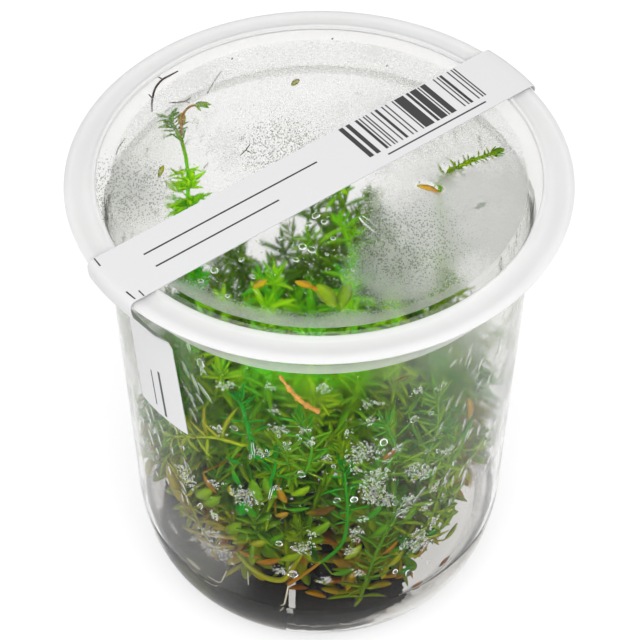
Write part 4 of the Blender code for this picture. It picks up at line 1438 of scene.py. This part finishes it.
class ROTALA_OT_stems(RotalaOperator, bpy.types.Operator):
    """Grows every stem of the crowd, with its whorls, side shoots and buds"""
    bl_idname = "rotala.stems"
    bl_label = "Stems"

    def execute(self, context):
        values = context.scene.rotala_growth
        material = greenery(values)
        models = leaf_models()
        routes = stem_routes()
        plants = {}
        for number, (name, points, shoot) in enumerate(routes):
            plants[name] = self.grow(values, number, points, shoot)
        self.spots = [(name, spot) for name, route, _ in routes for spot in smooth_route(route, 24)]
        for shoot in WALL_SHOOTS:
            self.wall_shoot(plants, *shoot)
        for tint, widen, marks in WALL_LEAVES:
            self.wall_leaf(plants, tint, widen, marks)
        for name, plant in plants.items():
            piece = plant.build(name + "_detailed", models, material)
            settle(piece, "rotala_green", name)
        for model in models:
            bpy.data.objects.remove(model)
        return {'FINISHED'}

    def grow(self, values, number, points, shoot):
        """One stem of the crowd with its side shoots. More of them grow at the crowd's edge."""
        plant = Growth(values, 100 + number)
        rng = plant.rng
        route = smooth_route(points, 30 if shoot else 18)
        tint = rng.uniform(0.60, 0.84)
        self.main_stem(plant, route, tint, shoot)
        if shoot == "tall":
            self.bush(plant, route)
            self.fork(plant, route[-1])
        if shoot == "side":
            self.string(plant, route)
        out = Vector((points[2].x, points[2].y, 0.0))
        edge = out.length > CROWD_EDGE
        for k in range(values.side_shoots + (2 if edge else 0)):
            part = rng.uniform(0.06, 0.55 if shoot else 0.80)
            base = route[int(part * (len(route) - 1))]
            turn = rng.uniform(0.0, 2.0 * math.pi)
            away = Vector((math.cos(turn), math.sin(turn), 0.0))
            if edge and k % 2:
                away = (out.normalized() + 0.7 * away).normalized()
            reach = rng.uniform(0.005, 0.010)
            rise = rng.uniform(0.006, 0.014)
            tip = base + away * reach + Vector((0.0, 0.0, rise))
            middle = base + away * reach * 0.65 + Vector((0.0, 0.0, rise * 0.3))
            low = base.z < LOW_SHOOTS
            shade = rng.uniform(0.36, 0.92) if low else rng.uniform(0.60, 0.84)
            kinds = (BROAD_LEAF, ROUND_LEAF, ROUND_LEAF, ARCHED) if low else None
            plant.shoot(smooth_route((base, middle, tip), 8), values.stem_radius * 0.62,
                        shade, values.leaf_length * rng.uniform(0.55, 0.85),
                        values.node_spacing * (0.95 if low else 0.72), kinds=kinds)
        return plant

    def main_stem(self, plant, route, tint, shoot):
        """The stem itself: withering broad leaves low down, narrow fresh ones above."""
        values, rng = plant.settings, plant.rng
        total = sum((b - a).length for a, b in zip(route, route[1:]))
        plant.rod(route, values.stem_radius, tint, 0.7)
        steps = int(total / values.node_spacing)
        for i in range(steps):
            part = (i + 0.6) / steps
            spot = part * (len(route) - 1)
            low = min(int(spot), len(route) - 2)
            base = route[low].lerp(route[low + 1], spot - low)
            along = (route[low + 1] - route[low]).normalized()
            height = base.z
            if shoot and height > 0.078 and (shoot == "tall" or rng.random() < 0.3):
                continue
            old = max(0.0, min(1.0, (0.042 - height) / 0.022))
            kinds = (BROAD_LEAF, ROUND_LEAF, ARCHED) if old > 0.4 else (STRAIGHT, ARCHED, ARCHED)
            shade = tint - 0.28 * old * rng.random()
            if rng.random() < 0.16 * old:
                shade = rng.uniform(0.10, 0.30)
            size = values.leaf_length * (0.80 + 0.25 * rng.random())
            if shoot == "side" and height > 0.090:
                size *= 0.55
            plant.whorl(base, along, size, shade, 0.55 - 0.8 * (1.0 - part), values.whorl, kinds)
        size = values.leaf_length * (0.45 if shoot else 0.7)
        plant.bud(route[-1], (route[-1] - route[-2]).normalized(), size, tint + 0.04)

    def bush(self, plant, route):
        """The dense tuft of leaves high on the tall shoot."""
        rng = plant.rng
        for low, high in zip(route, route[1:]):
            if not 0.0800 < low.z < 0.0985:
                continue
            along = (high - low).normalized()
            for k in range(6):
                rise = (low.z - 0.0800) / 0.0185
                wide = 0.0016 * (1.0 - 0.6 * rise)
                base = low.lerp(high, (k + 0.5) / 6) + Vector((rng.gauss(0.0, wide),
                                                               rng.gauss(0.0, wide), 0.0))
                plant.whorl(base, along, rng.uniform(0.0026, 0.0040), 0.96 - 0.36 * rise,
                            rng.uniform(-0.2, 0.8), 6, (ARCHED, RAISED, BROAD_LEAF, ROUND_LEAF))

    def string(self, plant, route):
        """Small crowded leaves along the part of the side shoot that lies under the lid."""
        rng = plant.rng
        for low, high in zip(route, route[1:]):
            if low.z < 0.1015:
                continue
            along = (high - low).normalized()
            for k in range(3):
                plant.whorl(low.lerp(high, (k + 0.5) / 3), along, rng.uniform(0.0013, 0.0020),
                            rng.uniform(0.5, 0.8), rng.uniform(0.4, 1.0), 4,
                            (BROAD_LEAF, ROUND_LEAF))
        ahead = route[-1] - route[-2]
        plant.leaves.append((ROUND_LEAF, leaf_place(route[-1], ahead, UP, 0.0028, 1.2), 0.72))

    def fork(self, plant, fork):
        """The tall shoot's two ends under the lid: a leafy one and a withering one."""
        radius = plant.settings.stem_radius
        left = smooth_route([fork, fork + Vector((-0.0012, 0.0018, 0.0013)),
                             fork + Vector((-0.0024, 0.0042, 0.0022))], 8)
        plant.rod(left, 0.8 * radius, 0.66)
        for i, base in enumerate(left[2:]):
            along = (left[i + 2] - left[i + 1]).normalized()
            plant.whorl(base, along, 0.0027, 0.72, 0.5, 4, (STRAIGHT, BROAD_LEAF, ARCHED))
        tip = left[-1]
        ahead = Vector((0.0014, 0.0030, 0.0004))
        aside = Vector((-0.003, 0.0006, 0.0003))
        plant.leaves.append((STRAIGHT, leaf_place(tip, ahead, UP, 0.0034, 1.3), 0.95))
        plant.leaves.append((STRAIGHT, leaf_place(tip, aside, UP, 0.0026, 1.3), 0.80))
        bend = smooth_route([fork + Vector((0.0, 0.0008, 0.0006)),
                             fork + Vector((0.0001, 0.0022, 0.0026)),
                             fork + Vector((0.0004, 0.0046, 0.0031)),
                             fork + Vector((0.0014, 0.0064, 0.0032)),
                             fork + Vector((0.0026, 0.0070, 0.0032))], 14)
        plant.rod(bend, 0.55 * radius, 0.16, 0.9)
        plant.leaves.append((ROUND_LEAF, leaf_place(bend[3], Vector((0.0, 1.0, 0.25)), UP, 0.0030,
                                                    1.2), 0.38))
        end = bend[-1]
        for x, y, size, tint in ((1.0, 0.35, 0.0036, 0.62), (1.0, 0.0, 0.0030, 0.78),
                                 (0.7, -0.7, 0.0018, 0.60), (0.9, 0.7, 0.0024, 0.86)):
            plant.leaves.append((BROAD_LEAF, leaf_place(end, Vector((x, y, -0.1)), UP, size), tint))

    def nearest(self, foot):
        """The stem, and its point below foot, that lie nearest to it."""
        low = [(name, spot) for name, spot in self.spots if spot.z < foot.z]
        return min(low, key=lambda item: (item[1] - foot).length)

    def wall_shoot(self, plants, tint, size, bare, thick, marks):
        """A shoot that leaves the nearest stem, meets the wall and runs up along it."""
        points = [on_wall(turn, height, 0.0009) for turn, height in marks]
        name, start = self.nearest(points[0])
        plant = plants[name]
        lead = start.lerp(points[0], 0.5)
        lead.z -= 0.15 * (start - points[0]).length
        route = smooth_route([start, lead] + points, 12 + 5 * len(points))
        plant.shoot(route, plant.settings.stem_radius * thick, tint, size,
                    plant.settings.node_spacing, kinds=(STRAIGHT, ARCHED, RAISED), bare=bare)

    def wall_leaf(self, plants, tint, widen, marks):
        """A leaf pressed to the wall, on a thin stalk from the nearest stem."""
        base = on_wall(marks[0], 0.001 * marks[1], 0.0012)
        tip = on_wall(marks[2], 0.001 * marks[3], 0.0006)
        name, start = self.nearest(base)
        plants[name].rod(smooth_route([start, start.lerp(base, 0.6), base], 6), 0.00020,
                         min(tint, 0.7), 0.9)
        plants[name].leaves.append(flat_leaf(base, tip, widen, tint))


class ROTALA_OT_loose(RotalaOperator, bpy.types.Operator):
    """Adds the fallen stem, the dead stem, the loose root and the bits under the lid"""
    bl_idname = "rotala.loose"
    bl_label = "Loose bits"

    def execute(self, context):
        values = context.scene.rotala_growth
        green = greenery(values)
        fallen = rods("fallen_stem_detailed", [self.tapered(
            [on_wall(-27.0, 0.0316, 0.0012), on_wall(-23.0, 0.0285, 0.0010),
             on_wall(-17.0, 0.0262, 0.0008), on_wall(-12.0, 0.0264, 0.0008),
             on_wall(-9.6, 0.0285, 0.0012), on_wall(-5.5, 0.0350, 0.0020)], 0.00058, 30)])
        paint(fallen, "tint", [0.50] * len(fallen.data.vertices))
        paint(fallen, "along", [0.5] * len(fallen.data.vertices))
        fallen.data.materials.append(green)
        settle(fallen, "rotala_green", "fallen_stem")
        dead = rods("dead_stem_detailed", [self.knobbly(
            [on_wall(-10.6, 0.0940, 0.0007), on_wall(-8.2, 0.0908, 0.0006)], 0.00034, 12),
            self.knobbly([on_wall(-8.6, 0.0912, 0.0007), on_wall(-7.0, 0.0892, 0.0006),
                          on_wall(-3.6, 0.0860, 0.0006), on_wall(0.0, 0.0838, 0.0007)],
                         0.00050, 26)])
        dead.data.materials.append(withered("dead_stem_brown", (0.74, 0.36, 0.04),
                                            (0.42, 0.18, 0.03)))
        settle(dead, "withered_brown", "dead_stem")
        self.under_lid()
        self.roots()
        self.leaves("wall_bits", green, [flat_leaf(
            on_wall(a, 0.001 * b, 0.0007), on_wall(c, 0.001 * d, 0.0007), widen, tint)
            for tint, widen, (a, b, c, d) in WALL_BITS])
        self.leaves("lid_bits", green, [self.level_leaf(PANEL_UNDER - 0.0005, widen, tint, ends)
                                        for tint, widen, ends in LID_BITS])
        self.leaves("gel_bits", green, [self.level_leaf(GEL_TOP + 0.0006, widen, tint, ends)
                                        for tint, widen, ends in GEL_BITS])
        for model in leaf_models():
            bpy.data.objects.remove(model)
        return {'FINISHED'}

    def under_lid(self):
        """The root, twigs and specks that stick to the lid's underside."""
        under = PANEL_UNDER - 0.0004

        def flat(radius, count, *spots):
            return self.tapered([(0.001 * x, 0.001 * y, under) for x, y in spots], radius, count)

        root = rods("loose_root_detailed", [
            flat(0.00024, 24, (-34.0, 19.4), (-34.1, 22.6), (-33.7, 26.2), (-32.4, 29.0),
                 (-30.6, 30.6), (-29.2, 31.8)),
            flat(0.00014, 8, (-34.1, 23.4), (-34.9, 24.6)), flat(0.00013, 8, (-32.2, 29.2),
                                                                 (-33.4, 30.2))])
        root.data.materials.append(withered("loose_root_brown", (0.10, 0.06, 0.04),
                                            (0.02, 0.015, 0.012)))
        settle(root, "withered_brown", "loose_root")
        twigs = rods("lid_twigs", [
            flat(0.00016, 14, (-30.6, 22.0), (-28.8, 22.2), (-27.2, 22.6), (-26.3, 23.6)),
            flat(0.00010, 8, (-27.3, 22.6), (-26.4, 21.9)),
            flat(0.00011, 16, (-20.2, 31.8), (-21.6, 28.6), (-22.9, 24.9)),
            flat(0.00013, 12, (-15.9, 6.2), (-14.7, 7.9), (-13.9, 9.6)),
            flat(0.00010, 8, (-14.7, 7.9), (-13.3, 6.8)),
            flat(0.00015, 6, (2.6, 41.9), (2.9, 42.2)), flat(0.00013, 6, (13.9, 33.3), (14.2, 33.8)),
            flat(0.00014, 6, (-18.2, 35.5), (-17.9, 36.0)),
            flat(0.00011, 10, (-40.6, 6.4), (-40.2, 8.6), (-39.0, 11.4))])
        twigs.data.materials.append(withered("twig_brown", (0.22, 0.16, 0.12),
                                             (0.06, 0.045, 0.035)))
        settle(twigs, "withered_brown")

    def roots(self):
        """Pale roots that hang into the gel in front of the mats, and a bit of pale stem."""
        def inside(turn, height):
            return on_wall(turn, height, 0.0011)

        roots = rods("pale_roots", [
            self.tapered([on_wall(-9.6, 0.0257, 0.0012), inside(-11.0, 0.0185),
                          inside(-12.0, 0.0158), inside(-14.0, 0.0138)], 0.00020, 16),
            self.tapered([on_wall(-31.0, 0.0232, 0.0010), inside(-33.5, 0.0180),
                          inside(-36.0, 0.0158), inside(-40.0, 0.0155)], 0.00017, 16),
            self.tapered([on_wall(-23.0, 0.0262, 0.0008), on_wall(-23.0, 0.0218, 0.0008)],
                         0.00014, 6),
            self.tapered([inside(-49.0, 0.0172), inside(-43.0, 0.0165)], 0.00030, 8),
            self.tapered([inside(5.0, 0.0110), inside(9.0, 0.0090), inside(13.0, 0.0092)],
                         0.00016, 10)])
        roots.data.materials.append(pale_root())
        settle(roots, "withered_brown")

    def level_leaf(self, height, widen, tint, ends):
        """A leaf that lies level at a height, its ends given in millimetres."""
        base, tip = Vector((*ends[:2], 0.0)) * 0.001, Vector((*ends[2:], 0.0)) * 0.001
        size = (tip - base).length
        kind = BROAD_LEAF if size > 0.0040 else ROUND_LEAF
        base.z = tip.z = height
        return kind, leaf_place(base, tip - base, UP, size, widen), tint

    def leaves(self, name, material, copies):
        """One piece of many loose leaves."""
        piece = joined_copies(name, leaf_models(), copies)
        piece.data.materials.append(material)
        keep_inside(piece, 0.0008)
        settle(piece, "rotala_green")

    def tapered(self, points, radius, count):
        """A rod's route that is thinner towards both ends."""
        route = smooth_route(points, count)
        return [(p, radius * (0.55 + 0.45 * math.sin(math.pi * (i + 1) / (count + 1))))
                for i, p in enumerate(route)]

    def knobbly(self, points, radius, count):
        """A rod's route that is uneven, with a node on every seventh ring."""
        rng = random.Random(3)
        route = smooth_route(points, count)
        return [(p, radius * (rng.uniform(0.7, 1.0) + (0.5 if i % 7 == 3 else 0.0)))
                for i, p in enumerate(route)]


class ROTALA_OT_beads(RotalaOperator, bpy.types.Operator):
    """Scatters the condensation: clusters, drops and runs on the wall, beads under the lid"""
    bl_idname = "rotala.beads"
    bl_label = "Condensation"

    # Beads within this many degrees of the front are placed and drawn finely
    FRONT = 62.0
    # Radius that turns degrees round the wall into metres along it
    ARC_RADIUS = 0.040
    # Crowded fine beads on the wall: degrees from the front, height, half width
    PATCHES = ((13, .0855, .0009), (16, .0850, .0006), (14, .0805, .0009), (8, .0776, .0006),
               (12, .0706, .0021), (22, .0695, .0008), (28, .0604, .0014), (32, .0578, .0014),
               (16, .0618, .0017), (40, .0610, .0010), (19, .0664, .0007), (27, .0855, .0008),
               (35, .0836, .0008), (32, .0767, .0006), (1, .0915, .0009), (10, .0652, .0008),
               (-27, .0873, .0008), (-24, .0884, .0007), (-13, .0907, .0006),
               (-12, .0839, .0006), (-11, .0782, .0012), (-4, .0787, .0008),
               (-29, .0729, .0009), (-43, .0507, .0016), (-16, .0700, .0010),
               (-9, .0734, .0008), (-3, .0750, .0008), (-32, .0540, .0009), (-22, .0535, .0019),
               (-12, .0591, .0006), (2, .0699, .0008), (-33, .0430, .0008), (-37, .0349, .0009),
               (-33, .0363, .0010), (-42, .0297, .0007), (-35, .0296, .0023), (-29, .0318, .0010),
               (-52, .0273, .0009), (-5, .0399, .0013), (-2, .0446, .0007), (-12, .0308, .0009),
               (2, .0286, .0008), (16, .0581, .0017), (15, .0555, .0014), (19, .0537, .0014),
               (27, .0504, .0012), (25, .0474, .0012), (13, .0485, .0007), (11, .0446, .0010),
               (11, .0419, .0007), (9, .0381, .0009), (32, .0340, .0018), (31, .0380, .0010),
               (33, .0459, .0009), (35, .0510, .0009), (37, .0390, .0009), (27, .0355, .0009),
               (12, .0300, .0008))
    # Single large drops on the wall: degrees, height, half width, how tall for its width
    DROPS = ((27, .0768, .0010, .7), (18, .0726, .0008, 1.3), (34, .0673, .0007, .8),
             (32, .0645, .0007, .6), (36, .0628, .0006, .7), (-5, .0646, .0010, .8),
             (-8, .0300, .0011, .8), (14, .0557, .0011, .6), (23, .0511, .0010, .6),
             (29, .0244, .0010, .9), (24, .0270, .0006, 1.0), (5, .0560, .0008, 1.0),
             (10, .0557, .0008, 1.0), (43, .0550, .0005, 1.6), (-33, .0914, .0008, 1.6),
             (-24, .0751, .0009, .6), (-12, .0403, .0008, .8), (-38, .0434, .0006, 1.8),
             (36, .0248, .0005, 1.0), (-43, .0600, .0005, 1.6), (4, .0673, .0005, .8))
    # Runs on the wall, from their lower to their upper end: degrees and height twice
    RUNS = ((-37, .0847, -40, .0890), (-34, .0812, -37, .0870), (-36, .0768, -41, .0830),
            (-30, .0805, -35, .0850), (-36, .0719, -39, .0755), (-33, .0789, -36, .0812),
            (-57, .0565, -61, .0615), (-58, .0503, -61, .0545), (-41, .0732, -44, .0765),
            (-31, .0886, -34, .0905), (-33, .0880, -32, .0943), (43, .0855, 46, .0910),
            (44, .0835, 46, .0875), (49, .0800, 52, .0835), (41, .0740, 43, .0768),
            (49, .0740, 52, .0762), (61, .0695, 64, .0720), (38, .0500, 43, .0550),
            (28, .0485, 33, .0530), (47, .0440, 50, .0490), (33, .0300, 36, .0330),
            (-18.3, .0676, -18.9, .0735), (-19.6, .0665, -19.4, .0690), (-14.6, .0545, -13.2, .0600))
    # Beaded areas under the lid: centre and half sizes in millimetres, tries for beads
    LID_AREAS = ((20.0, -23.0, 7.0, 9.0, 520), (27.0, -12.0, 8.0, 9.0, 420),
                 (14.0, -17.0, 4.0, 7.0, 260), (-10.0, 3.0, 6.0, 4.0, 260),
                 (-36.0, -2.0, 6.0, 8.0, 260), (-6.0, 12.0, 9.0, 7.0, 200),
                 (-22.0, 8.0, 5.0, 6.0, 110), (22.0, -31.0, 9.0, 3.0, 160),
                 (0.0, -24.0, 22.0, 9.0, 180), (0.0, 20.0, 26.0, 14.0, 200))
    # Single large drops under the lid: centre and half width in millimetres. The long one is
    # given by its centre, half width, thickness, stretch and turn
    LONG_DROP = (0.0099, -0.0139, 0.0008, 0.9, 3.4, math.radians(37.8))
    LID_DROPS = ((-3.2, -19.8, 0.8), (-4.4, -23.3, 0.6), (-1.4, -20.6, 0.8), (2.7, -17.5, 0.5),
                 (1.5, -21.9, 0.4), (-2.0, -13.5, 0.5), (-0.6, -11.2, 0.8), (1.0, -13.0, 0.6),
                 (-14.9, -23.3, 0.5), (-20.0, -26.2, 0.8), (-17.3, -32.9, 0.5),
                 (-12.6, -28.0, 0.4), (-22.5, -29.0, 0.5), (6.5, -26.0, 0.4), (-7.5, -17.5, 0.5))

    def execute(self, context):
        values = context.scene.rotala_beads
        material = water()
        dome = self.model("bead_dome", 2, True)
        fine = self.model("bead_fine", 1, False)
        drop = self.model("bead_drop", 3, True)
        rng = random.Random(29)
        front, back = self.wall_spots(values, rng)
        self.finish("wall_beads", [dome], front, material)
        self.finish("back_beads", [fine], back, material)
        self.finish("wall_drops", [drop], self.wall_drops(values, rng), material)
        self.finish("wall_runs", [dome], self.wall_runs(values, rng), material)
        self.finish("lid_beads", [dome], self.lid_spots(values, rng), material)
        under = [self.lid_bead(rng, 0.001 * x, 0.001 * y, 0.001 * size, 0.55)
                 for x, y, size in self.LID_DROPS]
        under.append(self.lid_bead(rng, *self.LONG_DROP))
        self.finish("lid_drops", [drop], under, material)
        for model in (dome, fine, drop):
            bpy.data.objects.remove(model)
        return {'FINISHED'}

    def wall_spots(self, values, rng):
        """Beads on the wall that don't run into one another, at the front and at the back."""
        scatter = Scatter(6000)
        front, back = [], []
        patches = list(self.PATCHES)
        while len(patches) < values.patches:
            patches.append((rng.uniform(self.FRONT, 360.0 - self.FRONT),
                            rng.uniform(0.024, 0.092), rng.uniform(0.0008, 0.0022)))
        for turn, height, size in patches:
            beads = front if abs(turn) < self.FRONT else back
            for _ in range(int(values.crowding * (size * 1000.0) ** 2)):
                grow = (values.large - values.small) * rng.random() ** 2.2
                self.put(rng, scatter, beads, values.small + grow,
                         turn + math.degrees(rng.gauss(0.0, 0.7 * size) / self.ARC_RADIUS),
                         height + rng.gauss(0.0, 0.7 * size))
        for _ in range(values.loose):
            turn = rng.uniform(-180.0, 180.0)
            self.put(rng, scatter, front if abs(turn) < self.FRONT else back,
                     rng.uniform(0.6, 1.0) * values.small, turn, rng.uniform(0.024, 0.0955))
        return front, back

    def wall_drops(self, values, rng):
        """The single drops at the front, then some at random round the back."""
        drops = [self.wall_bead(rng, turn, height, size, tall)
                 for turn, height, size, tall in self.DROPS]
        return drops + [self.wall_bead(rng, rng.uniform(60.0, 300.0), rng.uniform(0.026, 0.092),
                                       rng.uniform(0.0004, 0.0010), rng.uniform(0.6, 1.4))
                        for _ in range(values.drops)]

    def wall_runs(self, values, rng):
        """The single runs, then many short thin ones on the wall's sides."""
        runs = [self.run(*ends, rng.uniform(0.00026, 0.00036)) for ends in self.RUNS]
        for _ in range(values.runs):
            turn = rng.choice((-1.0, 1.0)) * rng.uniform(34.0, 148.0)
            height = rng.uniform(0.040, 0.093)
            slant = math.copysign(rng.uniform(0.8, 3.0), turn)
            runs.append(self.run(turn, height, turn + slant,
                                 height + rng.uniform(0.0012, 0.0045),
                                 rng.uniform(0.00018, 0.00034)))
        return runs

    def model(self, name, rounds, dome):
        """A ball, or half of one whose flat side lies against the wall (+X)."""
        bead = primitive(name, bpy.ops.mesh.primitive_ico_sphere_add, subdivisions=rounds,
                         radius=1.0)
        if dome:
            edit_all()
            bpy.ops.mesh.bisect(plane_co=(0.05, 0.0, 0.0), plane_no=(1.0, 0.0, 0.0),
                                use_fill=True, clear_outer=True)
            bpy.ops.mesh.select_all(action='SELECT')
            bpy.ops.mesh.quads_convert_to_tris()
            bpy.ops.object.mode_set(mode='OBJECT')
        paint(bead, "along", [0.0] * len(bead.data.vertices))
        return bead

    def put(self, rng, scatter, beads, size, turn, height):
        """Adds a bead to the wall where there is room for it."""
        along = math.radians(turn) * self.ARC_RADIUS
        if 0.0190 < height < 0.0965 and scatter.add(along, height, size):
            beads.append(self.wall_bead(rng, turn, height, size))

    def finish(self, name, models, copies, material):
        """Makes one piece of the beads and puts it on the frame."""
        piece = joined_copies(name, models, copies)
        bpy.ops.object.shade_smooth_by_angle(angle=math.radians(55.0))
        piece.data.materials.append(material)
        settle(piece, "clear_gel")

    def wall_bead(self, rng, turn, height, size, tall=0.0):
        """A bead on the wall. Where no height for its width is given, one is drawn."""
        angle = math.radians(turn)
        out = Vector((math.sin(angle), -math.cos(angle), 0.0))
        side = Vector((math.cos(angle), math.sin(angle), 0.0))
        lean = rng.uniform(-0.3, 0.3)
        along = UP * math.cos(lean) + side * math.sin(lean)
        cross = side * math.cos(lean) - UP * math.sin(lean)
        tall = (tall or rng.uniform(0.9, 1.3)) * size
        base = on_wall(turn, height, HAIR + 0.035 * size)
        return 0, placed(base, out * size * 0.7, cross * size, along * tall), 0.0

    def run(self, turn, height, turn_up, height_up, wide):
        """A long thin run of water on the wall, from its lower to its upper end."""
        low, high = on_wall(turn, height), on_wall(turn_up, height_up)
        centre = 0.5 * (low + high)
        out = Vector((centre.x, centre.y, 0.0)).normalized()
        along = 0.5 * (high - low)
        along -= out * along.dot(out)
        cross = along.cross(out).normalized()
        reach = inside_radius(centre.z) - HAIR - 0.045 * wide
        base = Vector((out.x * reach, out.y * reach, centre.z))
        return 0, placed(base, out * wide * 0.9, cross * wide, along), 0.0

    def lid_spots(self, values, rng):
        """Beads under the lid that don't run into one another."""
        scatter = Scatter(4000)
        beads = []
        for x, y, wide, long, count in self.LID_AREAS:
            for _ in range(int(count * values.lid_crowding)):
                px = 0.001 * (x + rng.gauss(0.0, 0.55 * wide))
                py = 0.001 * (y + rng.gauss(0.0, 0.55 * long))
                size = rng.uniform(0.7, 1.5) * values.small
                if math.hypot(px, py) < MOUTH_RADIUS - 0.0002 and scatter.add(px, py, size, 1.1):
                    beads.append(self.lid_bead(rng, px, py, size))
        return beads

    def lid_bead(self, rng, x, y, size, thick=0.6, stretch=1.0, turn=None):
        """A bead whose +X side lies against the lid."""
        turn = rng.uniform(0.0, math.pi) if turn is None else turn
        across = Vector((math.cos(turn), math.sin(turn), 0.0)) * size * rng.uniform(0.85, 1.1)
        along = Vector((-math.sin(turn), math.cos(turn), 0.0)) * size * stretch * rng.uniform(0.9, 1.3)
        base = Vector((x, y, PANEL_UNDER - HAIR - 0.05 * size))
        return 0, placed(base, UP * size * thick, across, along), 0.0


class ROTALA_PT_panel(bpy.types.Panel):
    """Lists the pieces in the 3D view's sidebar"""
    bl_idname = "ROTALA_PT_panel"
    bl_label = "Rotala Cup"
    bl_space_type = 'VIEW_3D'
    bl_region_type = 'UI'
    bl_category = "Rotala Cup"

    def draw(self, context):
        for operator in OPERATORS:
            self.layout.operator(operator.bl_idname)
        for group, holder in GROUPS.items():
            box = self.layout.box()
            box.label(text=group.__doc__)
            for name in group.__annotations__:
                box.prop(getattr(context.scene, holder), name)


GROUPS = {RotalaShell: "rotala_shell", RotalaLabel: "rotala_label", RotalaGel: "rotala_gel",
          RotalaGrowth: "rotala_growth", RotalaBeads: "rotala_beads",
          RotalaStage: "rotala_stage"}
OPERATORS = (ROTALA_OT_stage, ROTALA_OT_cup, ROTALA_OT_lid, ROTALA_OT_label, ROTALA_OT_gel,
             ROTALA_OT_mats, ROTALA_OT_stems, ROTALA_OT_loose, ROTALA_OT_beads)


def register():
    for group, name in GROUPS.items():
        bpy.utils.register_class(group)
        setattr(bpy.types.Scene, name, bpy.props.PointerProperty(type=group))
    for operator in OPERATORS:
        bpy.utils.register_class(operator)
    bpy.utils.register_class(ROTALA_PT_panel)


def unregister():
    bpy.utils.unregister_class(ROTALA_PT_panel)
    for operator in reversed(OPERATORS):
        bpy.utils.unregister_class(operator)
    for group, name in reversed(list(GROUPS.items())):
        delattr(bpy.types.Scene, name)
        bpy.utils.unregister_class(group)


def main():
    register()
    bpy.ops.rotala.stage()
    bpy.ops.rotala.cup()
    bpy.ops.rotala.lid()
    bpy.ops.rotala.label()
    bpy.ops.rotala.gel()
    bpy.ops.rotala.mats()
    bpy.ops.rotala.stems()
    bpy.ops.rotala.loose()
    bpy.ops.rotala.beads()


if __name__ == "__main__":
    main()
